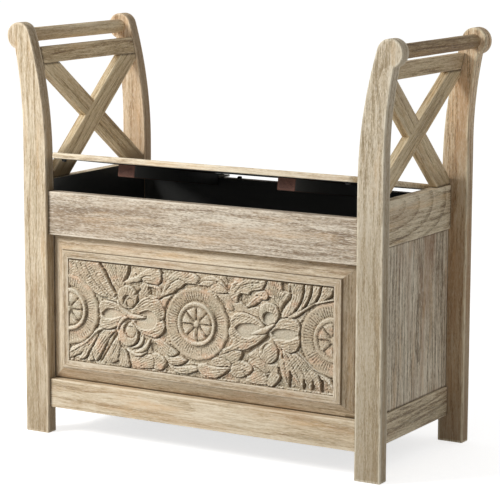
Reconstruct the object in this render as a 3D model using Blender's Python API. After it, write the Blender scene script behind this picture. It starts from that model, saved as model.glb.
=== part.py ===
"""Accent bench with a lidded storage box, swept arms and crossed side bars.

Metres, +Z up, origin on the floor under the middle of the bench, front towards -Y.
The lid is modelled part open, turned about its hinge pins.
"""
import math

import bmesh
import bpy
from mathutils import Vector

# Frame of the bench
OVERALL_HEIGHT = 0.762
BASE_WIDTH = 0.743            # across the straight outer faces of the posts
BASE_DEPTH = 0.356
POST_WIDTH = 0.050
POST_THICKNESS = 0.025
HEAD_RADIUS = 0.0245          # round scroll head on top of each post
HEAD_OVERHANG = 0.032         # how far a head stands out past the straight post
INNER_SWEEP = 0.806           # radius of the inner curve of a post
OUTER_SWEEP = 0.800           # radius of the outer curve of a post
NOTCH_ANGLE = math.radians(71)
POST_EDGE = 0.0015            # eased edge

# Rails between the posts
SEAT_RAIL_TOP = 0.455
TOP_RAIL_HEIGHT = 0.080
BOTTOM_RAIL_HEIGHT = 0.0535
FLOOR_CLEARANCE = 0.0495
RAIL_THICKNESS = 0.018
SIDE_THICKNESS = 0.019
SIDE_RAIL_RISE = 0.022        # side rails stand higher than the front and back rails
RAIL_EDGE = 0.001

# Arms
DOWEL_RADIUS = 0.013
DOWEL_SOCKET = 0.010
ARM_RAIL_HEIGHT = 0.029
ARM_RAIL_THICKNESS = 0.016
ARM_GAP = 0.0085              # clear height between the round and the flat arm rail
BAR_WIDTH = 0.040
BAR_THICKNESS = 0.016
BAR_FOOT = 0.018              # a bar's middle meets the rails this far from the posts

# Joints in the wood
FIT = 0.0003                  # clearance between touching pieces
TENON_THICKNESS = 0.008
TENON_LENGTH = 0.012
TENON_SHOULDER = 0.006        # wood left above or below a tenon

# Panels
PANEL_BOARD = 0.010
PANEL_LAP = 0.012             # how far the front panel runs up behind the top rail
PANEL_BEVEL = 0.0255          # along the top and the bottom
PANEL_END_BEVEL = 0.030
PANEL_QUIRK = 0.001           # flat left between the bevel and the edge of the board
PANEL_RISE = 0.0208           # front of the raised field over its board
PANEL_STEP = 0.004
BORDER_WIDTH = 0.0135
FIELD_SINK = 0.004
ROSETTE_RADIUS = 0.070
ROSETTE_RING = 0.037
ROSETTE_HUB = 0.008
ROSETTE_RING_SLOPE = 0.006
ROSETTE_RISE = 0.0035         # ring and hub over the sunk field
ROSETTE_RIM = 0.002
ROSETTE_BED = 0.0012
BACK_BOARD = 0.006
SIDE_PANEL_THICKNESS = 0.010
SIDE_PANEL_RECESS = 0.004

# Floor of the box
FLOOR_THICKNESS = 0.009
CLEAT_SIZE = 0.018
CLEAT_DROP = 0.030            # top of the cleats under the top of the bottom rails

# Lid
LID_THICKNESS = 0.011
LID_SIDE_GAP = 0.010
LID_OVERHANG = 0.011          # past the face of the front rail, lid closed
LID_EDGE = 0.003
LID_REST_ANGLE = math.radians(9.3)
BATTEN_WIDTH = 0.036
BATTEN_THICKNESS = 0.023
BATTEN_SPREAD = 0.166         # middle of a batten from the middle of the bench
BATTEN_END_GAP = 0.005
BATTEN_EDGE = 0.002

# Hinges, their screws and the bumpers
HINGE_GAP = 0.005             # rail to lid, and the width of a knuckle
HINGE_LENGTH = 0.050
LEAF_THICKNESS = 0.0016
LEAF_MARGIN = 0.002           # rail left bare in front of a leaf
KNUCKLES = 5
KNUCKLE_BEHIND = 0.001        # knuckle clear of the back of the rail
PIN_RADIUS = 0.0012
SCREW_HEAD_RADIUS = 0.0028
SCREW_HEAD_HEIGHT = 0.0014
SCREW_SHANK_RADIUS = 0.0013
SCREW_LENGTH = 0.008
SCREWS_PER_LEAF = 2
SCREW_INSET = 0.010           # from the ends of a leaf
BATTEN_SCREW_LENGTH = 0.028
BATTEN_SCREW_HEAD = 0.0038
SCREWS_PER_BATTEN = 2
BATTEN_SCREW_INSET = 0.033    # from the ends of a batten
BUMPER_RADIUS = 0.0045
BUMPER_SPREAD = 0.110
BUMPER_INSET = 0.018          # front bumpers from the ends of the lid

# Facets of the curves
INNER_SWEEP_STEPS = 12
OUTER_SWEEP_STEPS = 8
HEAD_STEPS = 20
DOWEL_SIDES = 32
SOCKET_SIDES = 24
ROSETTE_SIDES = 32
KNUCKLE_SIDES = 16
SCREW_SIDES = 10

# Places that follow from the sizes
POST_OUTER = BASE_WIDTH / 2
POST_INNER = POST_OUTER - POST_WIDTH
FRONT = -BASE_DEPTH / 2
POST_BACK_OF_FRONT = FRONT + POST_THICKNESS
RAIL_FACE = FRONT + POST_THICKNESS - RAIL_THICKNESS
TOP_RAIL_BOTTOM = SEAT_RAIL_TOP - TOP_RAIL_HEIGHT
BOTTOM_RAIL_TOP = FLOOR_CLEARANCE + BOTTOM_RAIL_HEIGHT
SIDE_RAIL_TOP = SEAT_RAIL_TOP + SIDE_RAIL_RISE
SIDE_RAIL_BOTTOM = SIDE_RAIL_TOP - TOP_RAIL_HEIGHT
SIDE_OUTER = POST_INNER + SIDE_THICKNESS
HEAD_X = POST_OUTER + HEAD_OVERHANG - HEAD_RADIUS
HEAD_Z = OVERALL_HEIGHT - HEAD_RADIUS
ARM_RAIL_TOP = HEAD_Z - DOWEL_RADIUS - ARM_GAP
ARM_RAIL_BOTTOM = ARM_RAIL_TOP - ARM_RAIL_HEIGHT
HALF_OPENING = -POST_BACK_OF_FRONT
CLEAT_TOP = BOTTOM_RAIL_TOP - CLEAT_DROP
FLOOR_TOP = CLEAT_TOP + FIT + FLOOR_THICKNESS
LID_HALF_WIDTH = POST_INNER - LID_SIDE_GAP
LID_FRONT = RAIL_FACE - LID_OVERHANG
LID_BACK = -RAIL_FACE
LID_BOTTOM = SEAT_RAIL_TOP + HINGE_GAP
KNUCKLE_RADIUS = HINGE_GAP / 2
HINGE_Y = LID_BACK + KNUCKLE_BEHIND + KNUCKLE_RADIUS
HINGE_Z = SEAT_RAIL_TOP + KNUCKLE_RADIUS
SIDES = (("left", -1), ("right", 1))
ENDS = (("front", 1), ("rear", -1))


def clear_scene():
    for old in list(bpy.data.objects):
        bpy.data.objects.remove(old, do_unlink=True)


# Wood and metal finishes: colour, roughness and how metallic each is

LIMED_WOOD = ((0.53, 0.44, 0.33), 0.6, 0.0)
SIDE_WOOD = ((0.42, 0.36, 0.28), 0.6, 0.0)
DARK_PAINT = ((0.02, 0.02, 0.018), 0.8, 0.0)
BROWN_WOOD = ((0.16, 0.07, 0.045), 0.6, 0.0)
STEEL = ((0.42, 0.40, 0.37), 0.35, 1.0)
RUBBER = ((0.02, 0.02, 0.02), 0.8, 0.0)


def finish(name, look):
    colour, roughness, metallic = look
    material = bpy.data.materials.new(name)
    material.use_nodes = True
    shader = material.node_tree.nodes["Principled BSDF"]
    shader.inputs["Base Color"].default_value = (*colour, 1.0)
    shader.inputs["Roughness"].default_value = roughness
    shader.inputs["Metallic"].default_value = metallic
    material.diffuse_color = (*colour, 1.0)
    return material


# Mesh helpers

def add_object(name, mesh, place=(0, 0, 0), material=None):
    piece = bpy.data.objects.new(name, mesh)
    bpy.context.scene.collection.objects.link(piece)
    piece.location = place
    if material:
        mesh.materials.append(material)
    return piece


def mesh_from(name, build):
    mesh = bpy.data.meshes.new(name)
    shape = bmesh.new()
    build(shape)
    bmesh.ops.recalc_face_normals(shape, faces=shape.faces)
    shape.to_mesh(mesh)
    shape.free()
    return mesh


def box_mesh(name, size):
    def build(shape):
        bmesh.ops.create_cube(shape, size=1.0)
        bmesh.ops.scale(shape, vec=Vector(size), verts=shape.verts)
    return mesh_from(name, build)


def prism_mesh(name, outline, depth, to_point):
    """Closed outline run from 0 to depth; to_point(a, b, d) gives a point of the solid."""
    def build(shape):
        near = [shape.verts.new(to_point(a, b, 0.0)) for a, b in outline]
        far = [shape.verts.new(to_point(a, b, depth)) for a, b in outline]
        shape.faces.new(near)
        shape.faces.new(list(reversed(far)))
        count = len(outline)
        for i in range(count):
            j = (i + 1) % count
            shape.faces.new((near[j], near[i], far[i], far[j]))
    return mesh_from(name, build)


TURNING_AXES = {
    "X": lambda a, b, h: (h, a, b),
    "Y": lambda a, b, h: (a, h, b),
    "Z": lambda a, b, h: (a, b, h),
}


def add_turned(shape, profile, sides, to_point):
    """Solid turned from (radius, height) points, flat at both ends."""
    turns = [2 * math.pi * i / sides for i in range(sides)]
    loops = [[shape.verts.new(to_point(radius * math.cos(t), radius * math.sin(t), height)) for t in turns]
             for radius, height in profile]
    shape.faces.new(loops[0])
    shape.faces.new(loops[-1])
    for lower, upper in zip(loops, loops[1:]):
        for i in range(sides):
            j = (i + 1) % sides
            shape.faces.new((lower[i], lower[j], upper[j], upper[i]))


def turned_mesh(name, profile, sides, axis="Z"):
    return mesh_from(name, lambda shape: add_turned(shape, profile, sides, TURNING_AXES[axis]))


def rod_profile(radius, length):
    return [(radius, 0.0), (radius, length)]


def ease(piece, width, angle=math.radians(35)):
    bevel = piece.modifiers.new("eased_edges", "BEVEL")
    bevel.width = width
    bevel.segments = 1
    bevel.limit_method = "ANGLE"
    bevel.angle_limit = angle


def apply_boolean(piece, other, operation):
    other.hide_render = True
    other.display_type = "WIRE"
    cut = piece.modifiers.new(operation.lower(), "BOOLEAN")
    cut.operation = operation
    cut.object = other
    cut.solver = "EXACT"


def spanning_box(name, low, high):
    size = [b - a for a, b in zip(low, high)]
    middle = [(a + b) / 2 for a, b in zip(low, high)]
    return add_object(name, box_mesh(name, size), middle)


def board(name, low, high, material, edge=RAIL_EDGE):
    piece = spanning_box(name, low, high)
    piece.data.materials.append(material)
    if edge:
        ease(piece, edge)
    return piece


def add_tenon(piece, low, high):
    apply_boolean(piece, spanning_box(piece.name + "_tenon_shape", low, high), "UNION")


def cut_mortise(piece, low, high):
    wide_low = [a - FIT for a in low]
    wide_high = [b + FIT for b in high]
    cutter = spanning_box(piece.name + "_mortise_shape", wide_low, wide_high)
    apply_boolean(piece, cutter, "DIFFERENCE")


# Posts

def inner_sweep_centre():
    """The inner curve leaves the straight post upright and runs into the round head."""
    across = POST_INNER + INNER_SWEEP - HEAD_X
    return (POST_INNER + INNER_SWEEP,
            HEAD_Z - math.sqrt((INNER_SWEEP - HEAD_RADIUS) ** 2 - across ** 2))


def inner_edge(z):
    """Distance of the post's inner edge from the middle of the bench at a height."""
    centre_x, centre_z = inner_sweep_centre()
    if z <= centre_z:
        return POST_INNER
    return centre_x - math.sqrt(INNER_SWEEP ** 2 - (z - centre_z) ** 2)


def arc(centre, radius, start, stop, steps):
    """Points after the first of an arc, angles counted from +X towards +Z."""
    turns = [start + (stop - start) * i / steps for i in range(1, steps + 1)]
    return [(centre[0] + radius * math.cos(t), centre[1] + radius * math.sin(t)) for t in turns]


def post_outline():
    """Up the inner edge, round the head to the notch, and down the outer edge."""
    inner_centre = inner_sweep_centre()
    meet = math.pi - math.atan2(HEAD_Z - inner_centre[1], inner_centre[0] - HEAD_X)
    inner = arc(inner_centre, INNER_SWEEP, math.pi, meet, INNER_SWEEP_STEPS)
    head = arc((HEAD_X, HEAD_Z), HEAD_RADIUS, meet, -NOTCH_ANGLE, HEAD_STEPS)
    notch_x, notch_z = head[-1]
    outer_x = POST_OUTER + OUTER_SWEEP
    reach = math.sqrt(OUTER_SWEEP ** 2 - (outer_x - notch_x) ** 2)
    turned = math.asin(reach / OUTER_SWEEP)
    outer = arc((outer_x, notch_z - reach), OUTER_SWEEP, math.pi - turned, math.pi, OUTER_SWEEP_STEPS)
    return [(POST_INNER, 0.0), (POST_INNER, inner_centre[1])] + inner + head + outer + [(POST_OUTER, 0.0)]


def end_range(end, near, far):
    """Y range counted from the front, mirrored for the rear end of the bench."""
    low, high = (near, far) if end > 0 else (-far, -near)
    return low, high


def side_range(side, near, far):
    low, high = (near, far) if side > 0 else (-far, -near)
    return low, high


def front_tenon(side, end, z_low, z_high):
    """Tenon of a front or back rail, which enters a post from its inner face."""
    x_low, x_high = side_range(side, POST_INNER - TENON_SHOULDER / 2, POST_INNER + TENON_LENGTH)
    middle = POST_BACK_OF_FRONT - RAIL_THICKNESS / 2
    y_low, y_high = end_range(end, middle - TENON_THICKNESS / 2, middle + TENON_THICKNESS / 2)
    return (x_low, y_low, z_low), (x_high, y_high, z_high)


def side_tenon(side, end, middle_x, z_low, z_high):
    """Tenon of a side rail, which enters a post from the inside of the side frame."""
    x_low, x_high = side_range(side, middle_x - TENON_THICKNESS / 2, middle_x + TENON_THICKNESS / 2)
    y_low, y_high = end_range(end, POST_BACK_OF_FRONT - TENON_LENGTH,
                              POST_BACK_OF_FRONT + TENON_SHOULDER / 2)
    return (x_low, y_low, z_low), (x_high, y_high, z_high)


# Front and side tenons share a post, so they stand one above the other
TOP_SPLIT = (SIDE_RAIL_BOTTOM + SEAT_RAIL_TOP) / 2
BOTTOM_SPLIT = FLOOR_CLEARANCE + BOTTOM_RAIL_HEIGHT / 2
FRONT_TOP_TENON = (TOP_RAIL_BOTTOM + TENON_SHOULDER, TOP_SPLIT - TENON_SHOULDER / 2)
SIDE_TOP_TENON = (TOP_SPLIT + TENON_SHOULDER / 2, SIDE_RAIL_TOP - TENON_SHOULDER)
FRONT_BOTTOM_TENON = (FLOOR_CLEARANCE + TENON_SHOULDER, BOTTOM_SPLIT - TENON_SHOULDER / 2)
SIDE_BOTTOM_TENON = (BOTTOM_SPLIT + TENON_SHOULDER / 2, BOTTOM_RAIL_TOP - TENON_SHOULDER)
ARM_TENON = (ARM_RAIL_BOTTOM + TENON_SHOULDER, ARM_RAIL_TOP - TENON_SHOULDER)
SIDE_MIDDLE = POST_INNER + SIDE_THICKNESS / 2
ARM_MIDDLE = inner_edge((ARM_RAIL_BOTTOM + ARM_RAIL_TOP) / 2) + ARM_RAIL_THICKNESS / 2


def make_post(side_name, side, end_name, end):
    name = "post_%s_%s" % (end_name, side_name)
    origin = Vector((side * (POST_INNER + POST_OUTER) / 2, end * (FRONT + POST_THICKNESS / 2), 0.0))

    def to_point(a, b, d):
        return Vector((side * a, end * (FRONT + d), b)) - origin

    mesh = prism_mesh(name, post_outline(), POST_THICKNESS, to_point)
    post = add_object(name, mesh, origin, finish(name + "_wood", LIMED_WOOD))
    ease(post, POST_EDGE, math.radians(50))
    for z_range in (FRONT_TOP_TENON, FRONT_BOTTOM_TENON):
        cut_mortise(post, *front_tenon(side, end, *z_range))
    for middle_x, z_range in ((SIDE_MIDDLE, SIDE_TOP_TENON), (SIDE_MIDDLE, SIDE_BOTTOM_TENON),
                              (ARM_MIDDLE, ARM_TENON)):
        cut_mortise(post, *side_tenon(side, end, middle_x, *z_range))
    length = DOWEL_SOCKET + FIT
    socket = add_object(name + "_socket_shape",
                        turned_mesh("socket", rod_profile(DOWEL_RADIUS + FIT, 2 * length), SOCKET_SIDES, "Y"),
                        (side * HEAD_X, end * POST_BACK_OF_FRONT - length, HEAD_Z))
    apply_boolean(post, socket, "DIFFERENCE")
    post.data.set_sharp_from_angle(angle=math.radians(30))
    return post


# Front and back rails

def make_long_rail(name, end, z_low, z_high, tenon_z):
    y_low, y_high = end_range(end, RAIL_FACE, POST_BACK_OF_FRONT)
    half = POST_INNER - FIT
    rail = board(name, (-half, y_low, z_low), (half, y_high, z_high),
                 finish(name + "_wood", LIMED_WOOD))
    for _, side in SIDES:
        add_tenon(rail, *front_tenon(side, end, *tenon_z))
    return rail


# Side rails, which carry the arm bars and the side panels

def make_side_rail(name, side, z_low, z_high, tenon_z):
    x_low, x_high = side_range(side, POST_INNER, SIDE_OUTER)
    half = HALF_OPENING - FIT
    rail = board(name, (x_low, -half, z_low), (x_high, half, z_high),
                 finish(name + "_wood", SIDE_WOOD))
    for _, end in ENDS:
        add_tenon(rail, *side_tenon(side, end, SIDE_MIDDLE, *tenon_z))
    return rail


def make_side_panel(side_name, side):
    outer = SIDE_OUTER - SIDE_PANEL_RECESS
    x_low, x_high = side_range(side, outer - SIDE_PANEL_THICKNESS, outer)
    half = HALF_OPENING - FIT
    name = "side_panel_" + side_name
    return board(name, (x_low, -half, BOTTOM_RAIL_TOP + FIT), (x_high, half, SIDE_RAIL_BOTTOM - FIT),
                 finish(name + "_wood", SIDE_WOOD))


# Arms: a round rail in the heads, a flat rail under it and two crossed bars

def lean_edge(z):
    """Inner face of the crossed bars: a straight lean between the two side rails."""
    low = inner_edge(SIDE_RAIL_TOP)
    high = inner_edge(ARM_RAIL_BOTTOM)
    return low + (high - low) * (z - SIDE_RAIL_TOP) / (ARM_RAIL_BOTTOM - SIDE_RAIL_TOP)


def make_arm_dowel(side_name, side):
    name = "arm_dowel_" + side_name
    half = HALF_OPENING + DOWEL_SOCKET
    mesh = turned_mesh(name, rod_profile(DOWEL_RADIUS, 2 * half), DOWEL_SIDES, "Y")
    dowel = add_object(name, mesh, (side * HEAD_X, -half, HEAD_Z), finish(name + "_wood", SIDE_WOOD))
    mesh.shade_smooth()
    mesh.set_sharp_from_angle(angle=math.radians(40))
    return dowel


def make_arm_rail(side_name, side):
    name = "arm_rail_" + side_name
    half = HALF_OPENING - FIT
    bottom_x = inner_edge(ARM_RAIL_BOTTOM)
    top_x = inner_edge(ARM_RAIL_TOP)
    outline = [(bottom_x, ARM_RAIL_BOTTOM), (bottom_x + ARM_RAIL_THICKNESS, ARM_RAIL_BOTTOM),
               (top_x + ARM_RAIL_THICKNESS, ARM_RAIL_TOP), (top_x, ARM_RAIL_TOP)]
    origin = Vector((side * ARM_MIDDLE, -half, (ARM_RAIL_BOTTOM + ARM_RAIL_TOP) / 2))

    def to_point(a, b, d):
        return Vector((side * a, d - half, b)) - origin

    rail = add_object(name, prism_mesh(name, outline, 2 * half, to_point), origin,
                      finish(name + "_wood", SIDE_WOOD))
    ease(rail, RAIL_EDGE)
    for _, end in ENDS:
        add_tenon(rail, *side_tenon(side, end, ARM_MIDDLE, *ARM_TENON))
    return rail


def clip(outline, inside):
    """Cuts an outline with the half plane where inside((a, b)) is positive."""
    kept = []
    for (a, b), (c, d) in zip(outline, outline[1:] + outline[:1]):
        here, there = inside((a, b)), inside((c, d))
        if here >= 0:
            kept.append((a, b))
        if here * there < 0:
            share = here / (here - there)
            kept.append((a + (c - a) * share, b + (d - b) * share))
    return kept


def bar_strip(direction, width):
    """Long strip through the middle of the arm opening, rising or falling to the rear."""
    middle_z = (SIDE_RAIL_TOP + ARM_RAIL_BOTTOM) / 2
    slope = math.atan2(ARM_RAIL_BOTTOM - SIDE_RAIL_TOP, 2 * (HALF_OPENING - BAR_FOOT))
    along = (math.cos(slope), direction * math.sin(slope))
    across = (-along[1], along[0])
    reach = BASE_DEPTH
    corners = ((-reach, -width / 2), (reach, -width / 2), (reach, width / 2), (-reach, width / 2))
    return [(s * along[0] + t * across[0], middle_z + s * along[1] + t * across[1]) for s, t in corners]


def bar_outline(direction):
    half = HALF_OPENING - FIT
    outline = bar_strip(direction, BAR_WIDTH)
    for limit in (lambda p: p[0] + half, lambda p: half - p[0],
                  lambda p: p[1] - SIDE_RAIL_TOP - FIT, lambda p: ARM_RAIL_BOTTOM - FIT - p[1]):
        outline = clip(outline, limit)
    return outline


def make_bar(side_name, side, kind, direction):
    """Rising bars show whole towards +X on both arms, falling bars towards -X."""
    name = "cross_bar_%s_%s" % (kind, side_name)
    middle_z = (SIDE_RAIL_TOP + ARM_RAIL_BOTTOM) / 2
    origin = Vector((side * (lean_edge(middle_z) + BAR_THICKNESS / 2), 0.0, middle_z))

    def to_point(a, b, d):
        return Vector((side * lean_edge(b) + side * d, a, b)) - origin

    bar = add_object(name, prism_mesh(name, bar_outline(direction), BAR_THICKNESS, to_point), origin,
                     finish(name + "_wood", SIDE_WOOD))
    ease(bar, RAIL_EDGE)
    whole_on_outside = (direction > 0) == (side > 0)
    lap = BAR_THICKNESS / 2 + FIT / 2
    start = -FIT if whole_on_outside else BAR_THICKNESS - lap
    depth = lap + FIT

    def lap_point(a, b, d):
        return Vector((side * lean_edge(b) + side * (start + d), a, b)) - origin

    strip = bar_strip(-direction, BAR_WIDTH + 2 * FIT)
    cutter = add_object(name + "_lap_shape", prism_mesh("lap", strip, depth, lap_point), origin)
    apply_boolean(bar, cutter, "DIFFERENCE")
    return bar


# Front panel: a raised field with bevelled edges on a board behind the rails

BOARD_FACE = POST_BACK_OF_FRONT + FIT
FIELD_FACE = BOARD_FACE - PANEL_RISE
FIELD_FLOOR = FIELD_FACE + FIELD_SINK
FIELD_HALF = POST_INNER - FIT - PANEL_QUIRK - PANEL_END_BEVEL - BORDER_WIDTH
FIELD_LOW = BOTTOM_RAIL_TOP + FIT + PANEL_QUIRK + PANEL_BEVEL + BORDER_WIDTH
FIELD_HIGH = TOP_RAIL_BOTTOM - FIT - PANEL_QUIRK - PANEL_BEVEL - BORDER_WIDTH
FIELD_MIDDLE = (FIELD_LOW + FIELD_HIGH) / 2


def panel_loop(grow_x, grow_z, y):
    """Rectangle round the carved field, larger by the two amounts."""
    half, low, high = FIELD_HALF + grow_x, FIELD_LOW - grow_z, FIELD_HIGH + grow_z
    return [(-half, y, low), (half, y, low), (half, y, high), (-half, y, high)]


def panel_mesh(name):
    """Rings of the panel from the back of its board to the sunk carved field."""
    half = POST_INNER - FIT
    low, high = FLOOR_TOP + FIT, TOP_RAIL_BOTTOM + PANEL_LAP
    outer_x, outer_z = BORDER_WIDTH + PANEL_END_BEVEL, BORDER_WIDTH + PANEL_BEVEL
    rings = [[(-half, y, low), (half, y, low), (half, y, high), (-half, y, high)]
             for y in (BOARD_FACE + PANEL_BOARD, BOARD_FACE)]
    rings += [panel_loop(outer_x, outer_z, BOARD_FACE),
              panel_loop(BORDER_WIDTH, BORDER_WIDTH, FIELD_FACE + PANEL_STEP),
              panel_loop(BORDER_WIDTH, BORDER_WIDTH, FIELD_FACE), panel_loop(0.0, 0.0, FIELD_FACE),
              panel_loop(0.0, 0.0, FIELD_FLOOR)]

    def build(shape):
        loops = [[shape.verts.new(point) for point in ring] for ring in rings]
        for outer, inner in zip(loops, loops[1:]):
            for i in range(4):
                j = (i + 1) % 4
                shape.faces.new((outer[i], outer[j], inner[j], inner[i]))
        shape.faces.new(loops[0])
        shape.faces.new(loops[-1])
    return mesh_from(name, build)


def rosette_mesh():
    """Low turned relief: a dished rim of flutes, a raised ring and a hub."""
    slope = ROSETTE_RING_SLOPE
    profile = [(ROSETTE_RADIUS, -FIELD_SINK / 2), (ROSETTE_RADIUS, ROSETTE_RIM),
               (ROSETTE_RING + slope, ROSETTE_BED), (ROSETTE_RING, ROSETTE_RISE),
               (ROSETTE_RING - slope, ROSETTE_BED), (ROSETTE_HUB, ROSETTE_BED), (ROSETTE_HUB, ROSETTE_RISE)]
    return turned_mesh("rosette", profile, ROSETTE_SIDES, "Y")


def make_front_panel():
    name = "front_carved_panel"
    panel = add_object(name, panel_mesh(name), (0, 0, 0), finish(name + "_wood", LIMED_WOOD))
    for index, x in enumerate((-FIELD_HALF, 0.0, FIELD_HALF)):
        rosette = add_object(name + "_rosette_shape_%d" % index, rosette_mesh(),
                             (x, FIELD_FLOOR, FIELD_MIDDLE))
        rosette.scale = (1, -1, 1)
        if x:
            keep_low, keep_high = sorted((0.0, math.copysign(FIELD_HALF + BORDER_WIDTH / 2, x)))
            keep = spanning_box("half_rosette_%d" % index, (keep_low, FIELD_FLOOR - FIELD_SINK, FIELD_LOW),
                                (keep_high, FIELD_FLOOR + FIELD_SINK, FIELD_HIGH))
            apply_boolean(rosette, keep, "INTERSECT")
        apply_boolean(panel, rosette, "UNION")
    return panel


def make_back_panel():
    half = POST_INNER - FIT
    y_high = -BOARD_FACE
    return board("back_panel", (-half, y_high - BACK_BOARD, FLOOR_TOP + FIT),
                 (half, y_high, TOP_RAIL_BOTTOM + PANEL_LAP),
                 finish("back_panel_wood", LIMED_WOOD), edge=0)


# Floor of the box and the cleats that carry it

def make_floor():
    half_x = POST_INNER - FIT
    half_y = HALF_OPENING - FIT
    board("floor_panel", (-half_x, -half_y, CLEAT_TOP + FIT), (half_x, half_y, FLOOR_TOP),
          finish("floor_panel_wood", DARK_PAINT), edge=0)
    cleat_wood = finish("cleat_wood", SIDE_WOOD)
    low = CLEAT_TOP - CLEAT_SIZE
    for end_name, end in ENDS:
        y_low, y_high = end_range(end, POST_BACK_OF_FRONT + FIT, POST_BACK_OF_FRONT + FIT + CLEAT_SIZE)
        board("floor_cleat_" + end_name, (-half_x, y_low, low), (half_x, y_high, CLEAT_TOP), cleat_wood)
    half_y = HALF_OPENING - CLEAT_SIZE - 2 * FIT
    for side_name, side in SIDES:
        x_low, x_high = side_range(side, POST_INNER - FIT - CLEAT_SIZE, POST_INNER - FIT)
        board("floor_cleat_" + side_name, (x_low, -half_y, low), (x_high, half_y, CLEAT_TOP), cleat_wood)


# Lid: everything on it hangs from an empty on the hinge axis

def closed(point):
    """A place on the closed lid, counted from the hinge axis."""
    return Vector(point) - Vector((0.0, HINGE_Y, HINGE_Z))


def on_lid(piece, axis):
    piece.parent = axis
    piece.location = closed(piece.location)


def make_lid_axis():
    axis = bpy.data.objects.new("lid_hinge_axis", None)
    bpy.context.scene.collection.objects.link(axis)
    axis.location = (0.0, HINGE_Y, HINGE_Z)
    axis.rotation_euler = (-LID_REST_ANGLE, 0.0, 0.0)
    return axis


def spaced(middle, spread, count):
    return [middle + spread * (2 * i / (count - 1) - 1) for i in range(count)]


def screw_profile(length, head):
    """Countersunk screw with its point at -length and the flat of its head at 0."""
    return [(SCREW_SHANK_RADIUS / 3, -length), (SCREW_SHANK_RADIUS, -length + SCREW_SHANK_RADIUS),
            (SCREW_SHANK_RADIUS, -SCREW_HEAD_HEIGHT), (head, 0.0)]


def hole_profile(length, head):
    """The screw's own shape with clearance all round, run on past the face it enters."""
    return [(SCREW_SHANK_RADIUS + FIT, -length - FIT), (SCREW_SHANK_RADIUS + FIT, -SCREW_HEAD_HEIGHT),
            (head + 2 * FIT, FIT)]


def screw_holes(name, places, profile, up, axis=None):
    """Cutter for a set of screws; up is +1 where the heads face up and -1 where they face down."""
    def build(shape):
        for x, y, z in places:
            add_turned(shape, profile, SCREW_SIDES, lambda a, b, h: (x + a, y + b, z + h * up))
    holes = add_object(name, mesh_from(name, build))
    if axis:
        on_lid(holes, axis)
    return holes


def add_screws(name, places, profile, up, axis=None):
    """One object for each screw, all on the same mesh, numbered from left to right."""
    mesh = turned_mesh(name, profile, SCREW_SIDES)
    mesh.materials.append(finish(name + "_steel", STEEL))
    for index, place in enumerate(places):
        screw = add_object("%s_%d" % (name, index + 1), mesh, place)
        if up < 0:
            screw.rotation_euler = (math.pi, 0.0, 0.0)
        if axis:
            on_lid(screw, axis)


def leaf_screw_places(z):
    y = (LID_BACK + HALF_OPENING) / 2
    spread = HINGE_LENGTH / 2 - SCREW_INSET
    return [(x, y, z) for _, side in SIDES for x in spaced(side * BATTEN_SPREAD, spread, SCREWS_PER_LEAF)]


RAIL_SCREWS = leaf_screw_places(SEAT_RAIL_TOP + FIT + LEAF_THICKNESS)
LID_SCREWS = leaf_screw_places(LID_BOTTOM - FIT - LEAF_THICKNESS)
BATTEN_REACH = HALF_OPENING - BATTEN_END_GAP
BATTEN_SCREWS = [(side * BATTEN_SPREAD, y, LID_BOTTOM - FIT - BATTEN_THICKNESS) for _, side in SIDES
                 for y in spaced(0.0, BATTEN_REACH - BATTEN_SCREW_INSET, SCREWS_PER_BATTEN)]


def make_lid(axis):
    wood = finish("lid_board_wood", LIMED_WOOD)
    lid = board("lid_board", (-LID_HALF_WIDTH, LID_FRONT, LID_BOTTOM),
                (LID_HALF_WIDTH, LID_BACK, LID_BOTTOM + LID_THICKNESS), wood, LID_EDGE)
    on_lid(lid, axis)
    holes = screw_holes("lid_screw_hole_shapes", LID_SCREWS, hole_profile(SCREW_LENGTH, SCREW_HEAD_RADIUS),
                        -1, axis)
    apply_boolean(lid, holes, "DIFFERENCE")
    batten_holes = screw_holes("batten_screw_hole_shapes", BATTEN_SCREWS,
                               hole_profile(BATTEN_SCREW_LENGTH, BATTEN_SCREW_HEAD), -1, axis)
    apply_boolean(lid, batten_holes, "DIFFERENCE")
    for side_name, side in SIDES:
        name = "lid_batten_" + side_name
        x = side * BATTEN_SPREAD
        batten = board(name, (x - BATTEN_WIDTH / 2, -BATTEN_REACH, LID_BOTTOM - FIT - BATTEN_THICKNESS),
                       (x + BATTEN_WIDTH / 2, BATTEN_REACH, LID_BOTTOM - FIT),
                       finish(name + "_wood", BROWN_WOOD), BATTEN_EDGE)
        on_lid(batten, axis)
        apply_boolean(batten, batten_holes, "DIFFERENCE")
    add_screws("lid_hinge_screw", LID_SCREWS, screw_profile(SCREW_LENGTH, SCREW_HEAD_RADIUS), -1, axis)
    add_screws("batten_screw", BATTEN_SCREWS, screw_profile(BATTEN_SCREW_LENGTH, BATTEN_SCREW_HEAD), -1, axis)


# Hinges: two leaves with interleaved knuckles on one pin

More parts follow.
